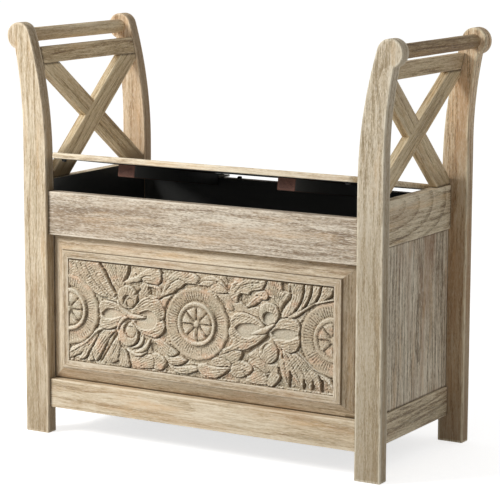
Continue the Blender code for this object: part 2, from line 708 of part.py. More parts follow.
def make_leaf(name, side, moving, axis, material):
    """A leaf lies flat on its board and reaches to the knuckles that it carries."""
    low_x = side * BATTEN_SPREAD - HINGE_LENGTH / 2
    pitch = HINGE_LENGTH / KNUCKLES
    edge = LID_BACK - LEAF_MARGIN / 4
    z_low = LID_BOTTOM - FIT - LEAF_THICKNESS if moving else SEAT_RAIL_TOP + FIT
    z_high = z_low + LEAF_THICKNESS
    leaf = spanning_box(name, (low_x, HALF_OPENING + LEAF_MARGIN, z_low),
                        (low_x + HINGE_LENGTH, edge, z_high))
    leaf.data.materials.append(material)
    shapes = []
    for index in range(KNUCKLES):
        if (index % 2 == 1) != moving:
            continue
        start = low_x + index * pitch + FIT / 2
        stop = start + pitch - FIT
        shapes.append(spanning_box("%s_tab_shape_%d" % (name, index),
                                   (start + FIT, edge - LEAF_MARGIN, z_low + FIT / 2),
                                   (stop - FIT, HINGE_Y - PIN_RADIUS - FIT, z_high - FIT / 2)))
        ring = turned_mesh("knuckle", rod_profile(KNUCKLE_RADIUS, stop - start), KNUCKLE_SIDES, "X")
        shapes.append(add_object("%s_knuckle_shape_%d" % (name, index), ring, (start, HINGE_Y, HINGE_Z)))
    for shape in shapes:
        apply_boolean(leaf, shape, "UNION")
    bore = turned_mesh("bore", rod_profile(PIN_RADIUS + FIT, 2 * HINGE_LENGTH), KNUCKLE_SIDES, "X")
    shapes.append(add_object(name + "_bore_shape", bore, (low_x - HINGE_LENGTH / 2, HINGE_Y, HINGE_Z)))
    apply_boolean(leaf, shapes[-1], "DIFFERENCE")
    if moving:
        for piece in shapes + [leaf]:
            on_lid(piece, axis)
    return leaf


def make_hinges(axis):
    rail_holes = screw_holes("rail_screw_hole_shapes", RAIL_SCREWS,
                             hole_profile(SCREW_LENGTH, SCREW_HEAD_RADIUS), 1)
    apply_boolean(bpy.data.objects["back_top_rail"], rail_holes, "DIFFERENCE")
    lid_holes = bpy.data.objects["lid_screw_hole_shapes"]
    for side_name, side in SIDES:
        steel = finish("hinge_steel_" + side_name, STEEL)
        fixed = make_leaf("hinge_fixed_leaf_" + side_name, side, False, axis, steel)
        apply_boolean(fixed, rail_holes, "DIFFERENCE")
        moving = make_leaf("hinge_lid_leaf_" + side_name, side, True, axis, steel)
        apply_boolean(moving, lid_holes, "DIFFERENCE")
        name = "hinge_pin_" + side_name
        pin = add_object(name, turned_mesh(name, rod_profile(PIN_RADIUS, HINGE_LENGTH), KNUCKLE_SIDES, "X"),
                         (side * BATTEN_SPREAD - HINGE_LENGTH / 2, HINGE_Y, HINGE_Z),
                         finish(name + "_steel", STEEL))
        pin.data.shade_smooth()
        pin.data.set_sharp_from_angle(angle=math.radians(40))
    add_screws("rail_hinge_screw", RAIL_SCREWS, screw_profile(SCREW_LENGTH, SCREW_HEAD_RADIUS), 1)


# Rubber bumpers that the closed lid lies on

def make_bumpers(axis):
    rubber = finish("bumper_rubber", RUBBER)
    height = HINGE_GAP - 2 * FIT
    rail_middle = (LID_BACK + HALF_OPENING) / 2
    for side_name, side in SIDES:
        profile = rod_profile(BUMPER_RADIUS, height)
        rear_name = "rail_bumper_" + side_name
        add_object(rear_name, turned_mesh(rear_name, profile, KNUCKLE_SIDES),
                   (side * BUMPER_SPREAD, rail_middle, SEAT_RAIL_TOP + FIT), rubber)
        front_name = "lid_bumper_" + side_name
        front = add_object(front_name, turned_mesh(front_name, profile, KNUCKLE_SIDES),
                           (side * (LID_HALF_WIDTH - BUMPER_INSET), -rail_middle,
                            LID_BOTTOM - FIT - height), rubber)
        on_lid(front, axis)


def make_bench():
    clear_scene()
    for side_name, side in SIDES:
        for end_name, end in ENDS:
            make_post(side_name, side, end_name, end)
    make_long_rail("front_top_rail", 1, TOP_RAIL_BOTTOM, SEAT_RAIL_TOP, FRONT_TOP_TENON)
    make_long_rail("front_bottom_rail", 1, FLOOR_CLEARANCE, BOTTOM_RAIL_TOP, FRONT_BOTTOM_TENON)
    make_long_rail("back_top_rail", -1, TOP_RAIL_BOTTOM, SEAT_RAIL_TOP, FRONT_TOP_TENON)
    make_long_rail("back_bottom_rail", -1, FLOOR_CLEARANCE, BOTTOM_RAIL_TOP, FRONT_BOTTOM_TENON)
    make_front_panel()
    make_back_panel()
    for side_name, side in SIDES:
        make_side_rail("side_top_rail_" + side_name, side, SIDE_RAIL_BOTTOM, SIDE_RAIL_TOP, SIDE_TOP_TENON)
        make_side_rail("side_bottom_rail_" + side_name, side, FLOOR_CLEARANCE, BOTTOM_RAIL_TOP,
                       SIDE_BOTTOM_TENON)
        make_side_panel(side_name, side)
        make_arm_dowel(side_name, side)
        make_arm_rail(side_name, side)
        make_bar(side_name, side, "rising", 1)
        make_bar(side_name, side, "falling", -1)
    make_floor()
    axis = make_lid_axis()
    make_lid(axis)
    make_hinges(axis)
    make_bumpers(axis)


make_bench()
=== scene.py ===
"""Accent bench of limed wood: a storage box with a carved front, a lid that stands ajar,
and swept arms with crossed bars. Metres, front towards -Y, floor at Z 0."""
import math
import random

import bmesh
import bpy
import numpy as np
from mathutils import Matrix, Vector


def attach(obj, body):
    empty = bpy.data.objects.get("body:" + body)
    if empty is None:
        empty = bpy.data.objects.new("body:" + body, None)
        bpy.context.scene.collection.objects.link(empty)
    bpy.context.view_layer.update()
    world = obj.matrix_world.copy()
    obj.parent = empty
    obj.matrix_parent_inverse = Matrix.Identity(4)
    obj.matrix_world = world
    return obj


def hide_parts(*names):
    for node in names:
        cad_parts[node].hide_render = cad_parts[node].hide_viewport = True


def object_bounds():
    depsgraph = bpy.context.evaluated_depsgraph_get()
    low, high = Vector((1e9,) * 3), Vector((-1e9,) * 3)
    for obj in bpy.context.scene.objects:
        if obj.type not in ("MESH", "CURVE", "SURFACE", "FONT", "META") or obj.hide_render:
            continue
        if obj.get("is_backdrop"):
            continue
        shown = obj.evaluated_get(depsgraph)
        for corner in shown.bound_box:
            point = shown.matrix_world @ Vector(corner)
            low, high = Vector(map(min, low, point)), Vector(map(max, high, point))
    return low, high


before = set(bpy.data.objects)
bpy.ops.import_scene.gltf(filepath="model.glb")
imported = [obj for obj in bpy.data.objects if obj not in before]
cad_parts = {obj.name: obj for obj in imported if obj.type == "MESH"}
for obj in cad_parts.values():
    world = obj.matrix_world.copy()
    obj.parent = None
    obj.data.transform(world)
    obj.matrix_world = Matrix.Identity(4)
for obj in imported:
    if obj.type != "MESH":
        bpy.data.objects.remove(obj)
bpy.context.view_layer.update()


# Posts
# Four solid posts, sawn to a sweep that leans out into a round scroll head with a notch under it.
# The wood is brushed and limed, so pale lime stays in the grain and the eased edges are rubbed lighter.

POST_INNER, POST_OUTER = 0.3215, 0.3715
POST_FRONT, POST_THICKNESS, POST_EDGE = -0.178, 0.025, 0.0018
HEAD_X, HEAD_Z, HEAD_RADIUS = 0.379, 0.7375, 0.0245
INNER_SWEEP, OUTER_SWEEP = 0.806, 0.800
NOTCH_ANGLE = math.radians(71)
SIDES = (("left", -1), ("right", 1))
ENDS = (("front", 1), ("rear", -1))
GRAIN_PLACES = random.Random(41)


def arc(centre, radius, start, stop, steps):
    """Points after the first of an arc, angles counted from +X towards +Z."""
    turns = [start + (stop - start) * i / steps for i in range(1, steps + 1)]
    return [(centre[0] + radius * math.cos(t), centre[1] + radius * math.sin(t)) for t in turns]


def inner_sweep_centre():
    """Centre of the arc that the inner edge follows until it runs into the round head."""
    across = POST_INNER + INNER_SWEEP - HEAD_X
    return POST_INNER + INNER_SWEEP, HEAD_Z - math.sqrt((INNER_SWEEP - HEAD_RADIUS) ** 2 - across ** 2)


def post_outline():
    """Up the inner edge, round the head to the notch and down the outer edge; True marks a corner."""
    inner_centre = inner_sweep_centre()
    meet = math.pi - math.atan2(HEAD_Z - inner_centre[1], inner_centre[0] - HEAD_X)
    inner = arc(inner_centre, INNER_SWEEP, math.pi, meet, steps=30)
    head = arc((HEAD_X, HEAD_Z), HEAD_RADIUS, meet, -NOTCH_ANGLE, steps=44)
    notch_x, notch_z = head[-1]
    outer_x = POST_OUTER + OUTER_SWEEP
    reach = math.sqrt(OUTER_SWEEP ** 2 - (outer_x - notch_x) ** 2)
    turned = math.asin(reach / OUTER_SWEEP)
    outer = arc((outer_x, notch_z - reach), OUTER_SWEEP, math.pi - turned, math.pi, steps=24)
    soft = [(POST_INNER, inner_centre[1])] + inner + head + outer
    return [(POST_INNER, 0.0, True)] + [(x, z, False) for x, z in soft] + [(POST_OUTER, 0.0, True)]


def inset_outline(outline, inset, edge, margin):
    """Closed outline moved inwards, corners rounded to the eased edge; the last value marks worn places."""
    mitre_limit, side_share, corner_steps = 0.3, 0.45, 3
    count = len(outline)
    points = [Vector(p[:2]) for p in outline]
    turn = sum(points[i].x * points[(i + 1) % count].y - points[i].y * points[(i + 1) % count].x
               for i in range(count))
    side = 1.0 if turn > 0 else -1.0
    ring = []
    for i, point in enumerate(points):
        before = (point - points[i - 1]).normalized()
        after = (points[(i + 1) % count] - point).normalized()
        in_before = Vector((-before.y, before.x)) * side
        in_after = Vector((-after.y, after.x)) * side
        mitre = (in_before + in_after).normalized()
        mitre = mitre / max(mitre.dot(in_before), mitre_limit)
        if not outline[i][2]:
            ring.append((*(point + mitre * inset), 0.0))
            continue
        half = math.atan2((in_before - in_after).length, (in_before + in_after).length)
        reach = (edge + margin) * math.tan(half)
        reach = min(max(reach, edge + margin), side_share * (point - points[i - 1]).length,
                    side_share * (points[(i + 1) % count] - point).length)
        ring.append((*(point - before * reach + in_before * inset), 0.0))
        centre, radius = point + mitre * max(edge, inset), max(edge - inset, 0.0)
        start = math.atan2(-in_before.y, -in_before.x)
        swing = math.atan2(in_before.x * in_after.y - in_before.y * in_after.x, in_before.dot(in_after))
        for k in range(corner_steps + 1):
            turned = start + swing * k / corner_steps
            ring.append((centre.x + radius * math.cos(turned), centre.y + radius * math.sin(turned), 1.0))
        ring.append((*(point + after * reach + in_after * inset), 0.0))
    return ring


def skinned(name, shape, loops):
    """Mesh of rings of points, joined by walls and closed by a face at each end."""
    for lower, upper in zip(loops, loops[1:]):
        for i in range(len(lower)):
            j = (i + 1) % len(lower)
            shape.faces.new((lower[i], lower[j], upper[j], upper[i]))
    shape.faces.new(loops[0])
    shape.faces.new(loops[-1])
    bmesh.ops.remove_doubles(shape, verts=shape.verts, dist=1e-6)
    bmesh.ops.recalc_face_normals(shape, faces=shape.faces)
    mesh = bpy.data.meshes.new(name)
    shape.to_mesh(mesh)
    shape.free()
    return mesh


def mark(mesh, label, values):
    """Writes one number for each point of a mesh, which the material reads."""
    mesh.attributes.new(label, "FLOAT", "POINT").data.foreach_set("value", values)


def mark_grain(mesh, along, across, tint=None):
    """Writes where each point lies in its plank: along the grain, across it and through it."""
    along, across = Vector(along).normalized(), Vector(across).normalized()
    through = along.cross(across)
    shift = (GRAIN_PLACES.uniform(-9, 9), GRAIN_PLACES.uniform(-0.06, 0.06), GRAIN_PLACES.uniform(0.03, 0.09))
    count = len(mesh.vertices)
    flat = np.empty(count * 3)
    mesh.vertices.foreach_get("co", flat)
    places = flat.reshape(-1, 3)
    middle = (places.min(axis=0) + places.max(axis=0)) / 2
    grain = (places - middle) @ np.array([along, across, through]).T + np.array(shift)
    mesh.attributes.new("grain", "FLOAT_VECTOR", "POINT").data.foreach_set("vector", grain.ravel())
    tint = GRAIN_PLACES.random() if tint is None else tint
    mark(mesh, "tint", np.full(count, tint))


def eased_board(name, outline, thickness, place, edge, along, across, material, tint=None, joint=None):
    """A board of any outline with rounded edges; place(a, b, depth) gives a point of the bench.

    joint(point) is true where another piece meets it: glaze stays there, and free edges are worn."""
    flat_strip, least_middle = 0.004, 0.0004
    margin = min(flat_strip, thickness / 2 - edge - least_middle)
    rings = [(0.0, edge + margin, 0.0)]
    for k in range(4):
        turned = math.radians(90 - 30 * k)
        rings.append((edge * (1 - math.sin(turned)), edge * (1 - math.cos(turned)), 1.0))
    rings.append((edge + margin, 0.0, 0.0))
    rings += [(thickness - depth, inset, worn) for depth, inset, worn in reversed(rings)]
    shape = bmesh.new()
    wear = shape.verts.layers.float.new("edge")
    loops = []
    for depth, inset, worn in rings:
        loop = []
        for a, b, corner in inset_outline(outline, inset, edge, margin):
            vert = shape.verts.new(place(a, b, depth))
            vert[wear] = max(worn, corner if inset <= edge else 0.0)
            if joint and joint(vert.co):
                vert[wear] = -vert[wear]
            loop.append(vert)
        loops.append(loop)
    mesh = skinned(name, shape, loops)
    mark_grain(mesh, along, across, tint)
    return finished(name, mesh, material)


def added(name, data):
    """A new object of the scene, at the origin."""
    thing = bpy.data.objects.new(name, data)
    bpy.context.scene.collection.objects.link(thing)
    return thing


def keep_faces_flat(piece):
    """Weighs the smooth shading by the size of the faces."""
    piece.modifiers.new("flat_faces", "WEIGHTED_NORMAL").keep_sharp = True


def finished(name, mesh, material):
    """A piece with smooth shading that keeps its flat faces flat."""
    mesh.shade_smooth()
    mesh.materials.append(material)
    piece = added(name, mesh)
    keep_faces_flat(piece)
    return piece


class Wiring:
    """Adds nodes to one tree; an input is a number or the socket of an earlier node."""

    def __init__(self, tree):
        self.tree = tree

    def add(self, kind, inputs, output=0, **settings):
        node = self.tree.nodes.new(kind)
        for key, value in settings.items():
            setattr(node, key, value)
        for key, value in inputs.items():
            self.put(node.inputs[key], value)
        return node.outputs[output]

    def put(self, socket, value):
        if isinstance(value, bpy.types.NodeSocket):
            self.tree.links.new(value, socket)
        else:
            socket.default_value = value

    def math(self, operation, a, b=0.0, c=0.0, clamp=False):
        return self.add("ShaderNodeMath", {0: a, 1: b, 2: c}, operation=operation, use_clamp=clamp)

    def times(self, a, b):
        return self.math("MULTIPLY", a, b)

    def plus(self, a, b):
        return self.math("ADD", a, b)

    def minus(self, a, b):
        return self.math("SUBTRACT", a, b)

    def times_plus(self, a, b, c, clamp=False):
        return self.math("MULTIPLY_ADD", a, b, c, clamp)

    def between(self, value, low, high, to_low=0.0, to_high=1.0):
        """Soft ramp of a value, from to_low at low to to_high at high."""
        return self.add("ShaderNodeMapRange", {"Value": value, "From Min": low, "From Max": high,
                                               "To Min": to_low, "To Max": to_high},
                        interpolation_type="SMOOTHSTEP")


class Finish(Wiring):
    """The nodes of one material."""

    def __init__(self, name):
        self.material = bpy.data.materials.new(name)
        self.material.use_nodes = True
        super().__init__(self.material.node_tree)
        self.shader = self.tree.nodes["Principled BSDF"]

    def attribute(self, name, output="Fac"):
        return self.add("ShaderNodeAttribute", {}, output, attribute_name=name)

    def stretched(self, vector, scale, place=(0.0, 0.0, 0.0)):
        return self.add("ShaderNodeMapping", {"Vector": vector, "Scale": scale, "Location": place})

    def noise(self, vector, scale=1.0, detail=3.0, roughness=0.55, distortion=0.0):
        return self.add("ShaderNodeTexNoise", {"Vector": vector, "Scale": scale, "Detail": detail,
                                               "Roughness": roughness, "Distortion": distortion})

    def mix(self, share, ground, colour):
        return self.add("ShaderNodeMix", {0: share, 6: ground, 7: (*colour, 1.0)}, 2, data_type="RGBA")

    def ramp(self, value, stops):
        node = self.tree.nodes.new("ShaderNodeValToRGB")
        while len(node.color_ramp.elements) < len(stops):
            node.color_ramp.elements.new(0.5)
        for element, (place, colour) in zip(node.color_ramp.elements, stops):
            element.position = place
            element.color = (*colour, 1.0)
        self.put(node.inputs[0], value)
        return node.outputs[0]

    def surface(self, colour, roughness, height, distance, strength, **others):
        """Joins the looks and a fine relief of the surface to the shader."""
        normal = self.add("ShaderNodeBump", {"Height": height, "Distance": distance, "Strength": strength})
        looks = {"Base Color": colour, "Roughness": roughness, "Normal": normal, **others}
        for label, value in looks.items():
            self.put(self.shader.inputs[label], value)
        return self.material


def toned(colour, *factors):
    """A colour made lighter or darker, by one factor or by one for each channel."""
    return tuple(min(1.0, c * k) for c, k in zip(colour, factors * (3 // len(factors))))


def wood_figure(w, dark, mid, pale, figure=1.0, lime=0.5, fleck=1.0, stain=(0.36, 0.22, 0.12), stained=0.4,
                arcs=0.0):
    """Colour and roughness height of brushed open-grained wood with lime left in its pores."""
    grain = w.attribute("grain", "Vector")
    # clouds, year bands, streaks and flecks, each finer and longer along the grain than the one before
    broad = w.noise(w.stretched(grain, (3.0, 13.0, 13.0)), detail=2.0)
    bands = w.noise(w.stretched(grain, (5.0, 105.0, 105.0)), detail=4.0, roughness=0.62, distortion=0.5)
    streaks = w.noise(w.stretched(grain, (26.0, 430.0, 430.0)), detail=3.0, roughness=0.7, distortion=0.3)
    flecks = w.noise(w.stretched(grain, (150.0, 700.0, 700.0)), detail=2.0, roughness=0.75)
    rings = w.add("ShaderNodeTexWave", {"Vector": w.stretched(grain, (0.16, 1.0, 1.0)), "Scale": 30.0,
                                        "Distortion": 9.0, "Detail": 2.5, "Detail Scale": 0.6,
                                        "Detail Roughness": 0.55}, 1,
                  wave_type="RINGS", rings_direction="X", wave_profile="SAW")
    tone = 0.54
    for field, reach in ((bands, 1.15 * figure), (broad, 1.1), (streaks, 1.9 * figure), (flecks, 1.5 * fleck),
                         (w.attribute("tint"), 0.3)):
        tone = w.times_plus(w.minus(field, 0.5), reach, tone)
    tone = w.times_plus(w.between(rings, 0.55, 1.0), -0.32 * figure, tone)
    if arcs:
        place = w.add("ShaderNodeTexCoord", {}, "Object")
        place = w.stretched(place, (0.0, 0.38, 1.0), (0.0, 0.034, -0.462))
        bows = w.add("ShaderNodeTexWave", {"Vector": place, "Scale": 15.0, "Distortion": 3.0, "Detail": 2.0,
                                           "Detail Scale": 0.5}, 1,
                     wave_type="RINGS", rings_direction="SPHERICAL", wave_profile="SAW")
        tone = w.times_plus(w.between(bows, 0.55, 1.0), -arcs, tone)
    colour = w.ramp(tone, ((0.0, dark), (0.46, mid), (0.90, pale)))
    patches = w.noise(w.stretched(grain, (5.0, 26.0, 26.0), (4.0, 2.0, 1.0)), detail=3.0)
    colour = w.mix(w.between(patches, 0.48, 0.70, 0.0, stained), colour, stain)
    hues = w.noise(w.stretched(grain, (6.0, 48.0, 48.0), (1.0, 7.0, 4.0)), detail=3.0, roughness=0.6)
    colour = w.mix(w.between(hues, 0.54, 0.72, 0.0, 0.42), colour, toned(mid, 1.22, 1.02, 0.80))
    colour = w.mix(w.between(hues, 0.46, 0.30, 0.0, 0.35), colour, toned(mid, 0.92, 0.98, 1.02))
    pores = w.noise(w.stretched(grain, (90.0, 1100.0, 1100.0), (2.0, 5.0, 3.0)), detail=2.0)
    colour = w.mix(w.between(pores, 0.50, 0.72, 0.0, lime), colour, tuple(0.30 + 0.70 * c for c in pale))
    colour = w.mix(w.between(pores, 0.44, 0.26, 0.0, 0.45 * fleck), colour, toned(dark, 0.7))
    height = w.plus(streaks, w.plus(flecks, w.times(pores, 0.6)))
    return colour, height, streaks


WOOD_SHINE = {"Specular IOR Level": 0.25}


def limed_wood(name, dark, mid, pale, lee=0.0, painted_shade_below=(), **figure):
    """Wood with pale rubbed edges, and brown glaze left where another piece meets it.

    The side shade is the share of painted shade on faces marked as turned away from the key lamp; the shade
    below lists, for each layer of painted shade, its share and the two heights between which it grows darker
    downwards."""
    w = Finish(name)
    colour, height, streaks = wood_figure(w, dark, mid, pale, **figure)
    # painted shade that grows darker downwards between two heights
    for share, high, low in painted_shade_below:
        place = w.add("ShaderNodeSeparateXYZ", {0: w.add("ShaderNodeTexCoord", {}, "Object")}, 2)
        colour = w.mix(w.between(place, high, low, 0.0, share), colour, toned(dark, 0.8))
    # painted shade on the faces that turn towards +X, away from the key lamp
    if lee:
        colour = w.mix(w.between(w.attribute("lee"), 0.3, 0.95, 0.0, lee), colour, (0.16, 0.105, 0.055))
    edge = w.attribute("edge")
    worn = w.times(w.between(edge, 0.1, 1.0), w.between(streaks, 0.35, 0.60, 0.15, 0.6))
    colour = w.mix(worn, colour, toned(pale, 1.12))
    glazed = w.times(w.between(edge, -0.1, -1.0), w.between(streaks, 0.3, 0.7, 0.9, 0.5))
    colour = w.mix(glazed, colour, (0.10, 0.07, 0.04))
    return w.surface(colour, w.between(streaks, 0.3, 0.7, 0.56, 0.72), height, 0.0007, 0.6, **WOOD_SHINE)


# painted shade: each post grows darker towards the bottom, and its faces towards +X are darkened by the side
# shade
POST_WOODS = {
    "front_left": limed_wood("pale_post_wood", (0.34, 0.24, 0.13), (0.60, 0.475, 0.31), (0.82, 0.70, 0.52),
                             lee=0.48, painted_shade_below=((0.30, 0.30, 0.0),), figure=1.15, fleck=0.8, stained=0.3),
    "front_right": limed_wood("grey_post_wood", (0.37, 0.28, 0.165), (0.735, 0.61, 0.43), (0.92, 0.82, 0.65),
                              lee=0.28, painted_shade_below=((0.45, 0.74, 0.30), (0.13, 0.30, 0.0)), figure=1.15,
                              fleck=1.4, stain=(0.52, 0.40, 0.25)),
    "rear_left": limed_wood("warm_post_wood", (0.32, 0.19, 0.095), (0.65, 0.48, 0.30), (0.86, 0.70, 0.50),
                            lee=0.55, painted_shade_below=((0.35, 0.60, 0.48),), stain=(0.50, 0.30, 0.15), fleck=0.8),
    "rear_right": limed_wood("brown_post_wood", (0.24, 0.145, 0.07), (0.76, 0.55, 0.335), (0.95, 0.81, 0.59),
                             painted_shade_below=((0.50, 0.66, 0.44), (0.46, 0.30, 0.0)), figure=1.1,
                             stain=(0.56, 0.32, 0.15), stained=0.7),
}

for side_name, side in SIDES:
    for end_name, end in ENDS:
        name = "post_%s_%s" % (end_name, side_name)
        post = eased_board(
            "swept_" + name, post_outline(), POST_THICKNESS,
            lambda a, b, d: (side * a, end * (POST_FRONT + d), b), POST_EDGE, (0, 0, 1), (1, 0, 0),
            POST_WOODS["%s_%s" % (end_name, side_name)], tint=0.5)
        # how far each face of the post turns towards +X, away from the key lamp, for the painted side shade
        turned = np.empty(len(post.data.vertices) * 3)
        post.data.vertex_normals.foreach_get("vector", turned)
        mark(post.data, "lee", np.clip(turned.reshape(-1, 3)[:, 0], 0, 1))
        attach(post, "bench")
        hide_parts(name)


# Front and back rails
# Two wide rails under the lid and two low ones near the floor, tenoned into the posts.
# They are limed like the posts; on the sides that face the box the top ones are painted black.

RAIL_FACE, RAIL_BACK = -0.171, -0.153
TOP_RAIL, BOTTOM_RAIL = (0.375, 0.455), (0.0495, 0.103)
RAIL_EDGE = 0.0011
JOINT_GAP, JOINT_REACH = 0.0003, 0.003        # play between pieces, and how far the dark of a joint reaches


def black_paint(name):
    """Thin matt black paint that lets the grain show as faint ridges."""
    w = Finish(name)
    place = w.add("ShaderNodeTexCoord", {}, "Object")
    ridges = w.noise(w.stretched(place, (14.0, 160.0, 160.0)), detail=3.0)
    patches = w.noise(place, 9.0, 3.0)
    tone = w.times_plus(ridges, 0.5, w.times(patches, 0.5))
    colour = w.ramp(tone, ((0.2, (0.085, 0.085, 0.081)), (0.8, (0.120, 0.120, 0.113))))
    return w.surface(colour, w.between(patches, 0.3, 0.7, 0.55, 0.8), ridges, 0.0003, 0.5)


def rectangle(a_low, a_high, b_low, b_high):
    """Outline of a straight board, with four true corners."""
    return [(a_low, b_low, True), (a_high, b_low, True), (a_high, b_high, True), (a_low, b_high, True)]


def paint_faces(piece, direction, material):
    """Puts a second finish on the faces that look a given way."""
    nearly_along = 0.9
    piece.data.materials.append(material)
    index = len(piece.data.materials) - 1
    for face in piece.data.polygons:
        if face.normal.dot(Vector(direction)) > nearly_along:
            face.material_index = index


top_rail_wood = limed_wood("limed_top_rail_wood", (0.27, 0.195, 0.125), (0.57, 0.465, 0.345),
                           (0.84, 0.755, 0.615), figure=1.15, lime=0.7, fleck=1.3, stain=(0.50, 0.37, 0.25))
low_rail_wood = limed_wood("limed_low_rail_wood", (0.32, 0.22, 0.12), (0.64, 0.505, 0.33), (0.86, 0.75, 0.57),
                           figure=0.9, fleck=0.4, stain=(0.60, 0.40, 0.22), stained=0.55)
box_paint = black_paint("box_black_paint")

for end_name, end in (("front", 1), ("back", -1)):
    for level, (low, high) in (("top", TOP_RAIL), ("bottom", BOTTOM_RAIL)):
        name = "%s_%s_rail" % (end_name, level)
        half = POST_INNER - JOINT_GAP
        rail = eased_board(
            "limed_" + name, rectangle(-half, half, low, high), RAIL_BACK - RAIL_FACE,
            lambda a, b, d: (a, end * (RAIL_FACE + d), b), RAIL_EDGE, (1, 0, 0), (0, 0, 1),
            top_rail_wood if level == "top" else low_rail_wood,
            joint=lambda p: abs(p.x) > POST_INNER - JOINT_REACH)
        if level == "top":
            paint_faces(rail, (0, end, 0), box_paint)
        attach(rail, "bench")
        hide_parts(name)


# Side frames
# Each end of the box has a top and a bottom rail, tenoned between the posts, round a plain panel
# that lies a little below their faces and has its grain upright. The inside is painted black.

SIDE_RAIL_OUTER, SIDE_PANEL_OUTER, SIDE_PANEL_THICKNESS = 0.3405, 0.3365, 0.010
SIDE_TOP, SIDE_BOTTOM = (0.397, 0.477), (0.0495, 0.103)
SIDE_RAIL_EDGE, SIDE_PANEL_EDGE = 0.0012, 0.0006
SIDE_HALF = -RAIL_BACK - JOINT_GAP

# Both woods are darker than the front's: partly their own tone, partly painted shade for the end faces, which
# turn away from the key lamp.
side_rail_wood = limed_wood("limed_side_rail_wood", (0.22, 0.155, 0.09), (0.61, 0.495, 0.325),
                            (0.84, 0.73, 0.54), figure=0.95, fleck=0.9, arcs=0.42)
side_panel_wood = limed_wood("limed_side_panel_wood", (0.21, 0.155, 0.10), (0.60, 0.50, 0.36),
                             (0.87, 0.78, 0.62), figure=1.45, fleck=1.2, stain=(0.34, 0.20, 0.11),
                             stained=0.75)

for side_name, side in SIDES:
    for level, (low, high) in (("top", SIDE_TOP), ("bottom", SIDE_BOTTOM)):
        name = "side_%s_rail_%s" % (level, side_name)
        rail = eased_board(
            "limed_" + name, rectangle(-SIDE_HALF, SIDE_HALF, low, high), SIDE_RAIL_OUTER - POST_INNER,
            lambda a, b, d: (side * (SIDE_RAIL_OUTER - d), a, b), SIDE_RAIL_EDGE, (0, 1, 0), (0, 0, 1),
            side_rail_wood, joint=lambda p: abs(p.y) > SIDE_HALF - JOINT_REACH)
        if level == "top":
            paint_faces(rail, (-side, 0, 0), box_paint)
        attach(rail, "bench")
        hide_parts(name)
    name = "side_panel_" + side_name
    panel = eased_board(
        "limed_" + name,
        rectangle(-SIDE_HALF, SIDE_HALF, SIDE_BOTTOM[1] + JOINT_GAP, SIDE_TOP[0] - JOINT_GAP),
        SIDE_PANEL_THICKNESS, lambda a, b, d: (side * (SIDE_PANEL_OUTER - d), a, b), SIDE_PANEL_EDGE,
        (0, 0, 1), (0, 1, 0), side_panel_wood, joint=lambda p: True)
    paint_faces(panel, (-side, 0, 0), box_paint)
    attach(panel, "bench")
    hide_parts(name)


# Arms
# A turned round rail sits in the scroll heads, a flat rail runs just below it, and two bars
# halved into each other cross between the flat rail and the side rail. All are limed like the posts.

DOWEL_RADIUS, DOWEL_LENGTH, DOWEL_WANDER, DOWEL_SEED = 0.013, 0.326, 0.008, 7
ARM_RAIL_LOW, ARM_RAIL_HIGH, ARM_RAIL_THICKNESS = 0.687, 0.716, 0.016
BAR_WIDTH, BAR_THICKNESS, BAR_FOOT = 0.040, 0.016, 0.018
BAR_REACH, CUTTER_PROUD = 0.4, 0.002          # half length of an uncut bar, and what a cutter stands out
ARM_EDGE = 0.0013

arm_wood = limed_wood("limed_arm_wood", (0.24, 0.15, 0.07), (0.58, 0.44, 0.255), (0.82, 0.68, 0.46),
                      fleck=0.8, lime=0.35)
arm_brown_wood = limed_wood("brown_arm_wood", (0.11, 0.06, 0.025), (0.32, 0.21, 0.105), (0.58, 0.44, 0.27),
                            fleck=0.8, lime=0.3)
# painted shadow of the lid on the feet of the bars, stronger on the left side
FOOT_PAINTED_SHADOW = {"left": 0.85, "right": 0.35}
bar_wood = {side: limed_wood("limed_bar_wood_" + side_name, (0.26, 0.17, 0.08), (0.62, 0.48, 0.28),
                             (0.84, 0.71, 0.49), painted_shade_below=((FOOT_PAINTED_SHADOW[side_name], 0.520, 0.485),), fleck=0.7,
                             lime=0.35, figure=0.9)
            for side_name, side in SIDES}


def inner_edge(z):
    """Distance of a post's inner edge from the middle of the bench at a height."""
    centre_x, centre_z = inner_sweep_centre()
    return centre_x - math.sqrt(INNER_SWEEP ** 2 - max(z - centre_z, 0.0) ** 2)


def turned_rail(name, middle, radius, length, seed):
    """A round rail, turned by hand enough that its thickness wanders a little."""
    steps, sides, knots = 60, 48, 9
    chance = random.Random(seed)
    swell = [chance.uniform(-1, 1) for _ in range(knots)]
    shape = bmesh.new()
    loops = []
    for i in range(steps + 1):
        share = i / steps
        at = share * (knots - 1)
        k = min(int(at), knots - 2)
        blend = (1 - math.cos(math.pi * (at - k))) / 2
        thick = radius * (1 - DOWEL_WANDER + DOWEL_WANDER * (swell[k] * (1 - blend) + swell[k + 1] * blend))
        loops.append([shape.verts.new((middle[0] + thick * math.cos(2 * math.pi * s / sides),
                                       middle[1] - length / 2 + length * share,
                                       middle[2] + thick * math.sin(2 * math.pi * s / sides)))
                      for s in range(sides)])
    mesh = skinned(name, shape, loops)
    mark_grain(mesh, (0, 1, 0), (1, 0, 0))
    return finished(name, mesh, arm_wood)


def clip(outline, inside):
    """Cuts an outline with the half plane where inside((a, b)) is positive."""
    kept = []
    for (a, b), (c, d) in zip(outline, outline[1:] + outline[:1]):
        here, there = inside((a, b)), inside((c, d))
        if here >= 0:
            kept.append((a, b))
        if here * there < 0:
            share = here / (here - there)
            kept.append((a + (c - a) * share, b + (d - b) * share))
    return kept


BAR_MIDDLE_Z = (SIDE_TOP[1] + ARM_RAIL_LOW) / 2
BAR_SLOPE = math.atan2(ARM_RAIL_LOW - SIDE_TOP[1], 2 * (-RAIL_BACK - BAR_FOOT))


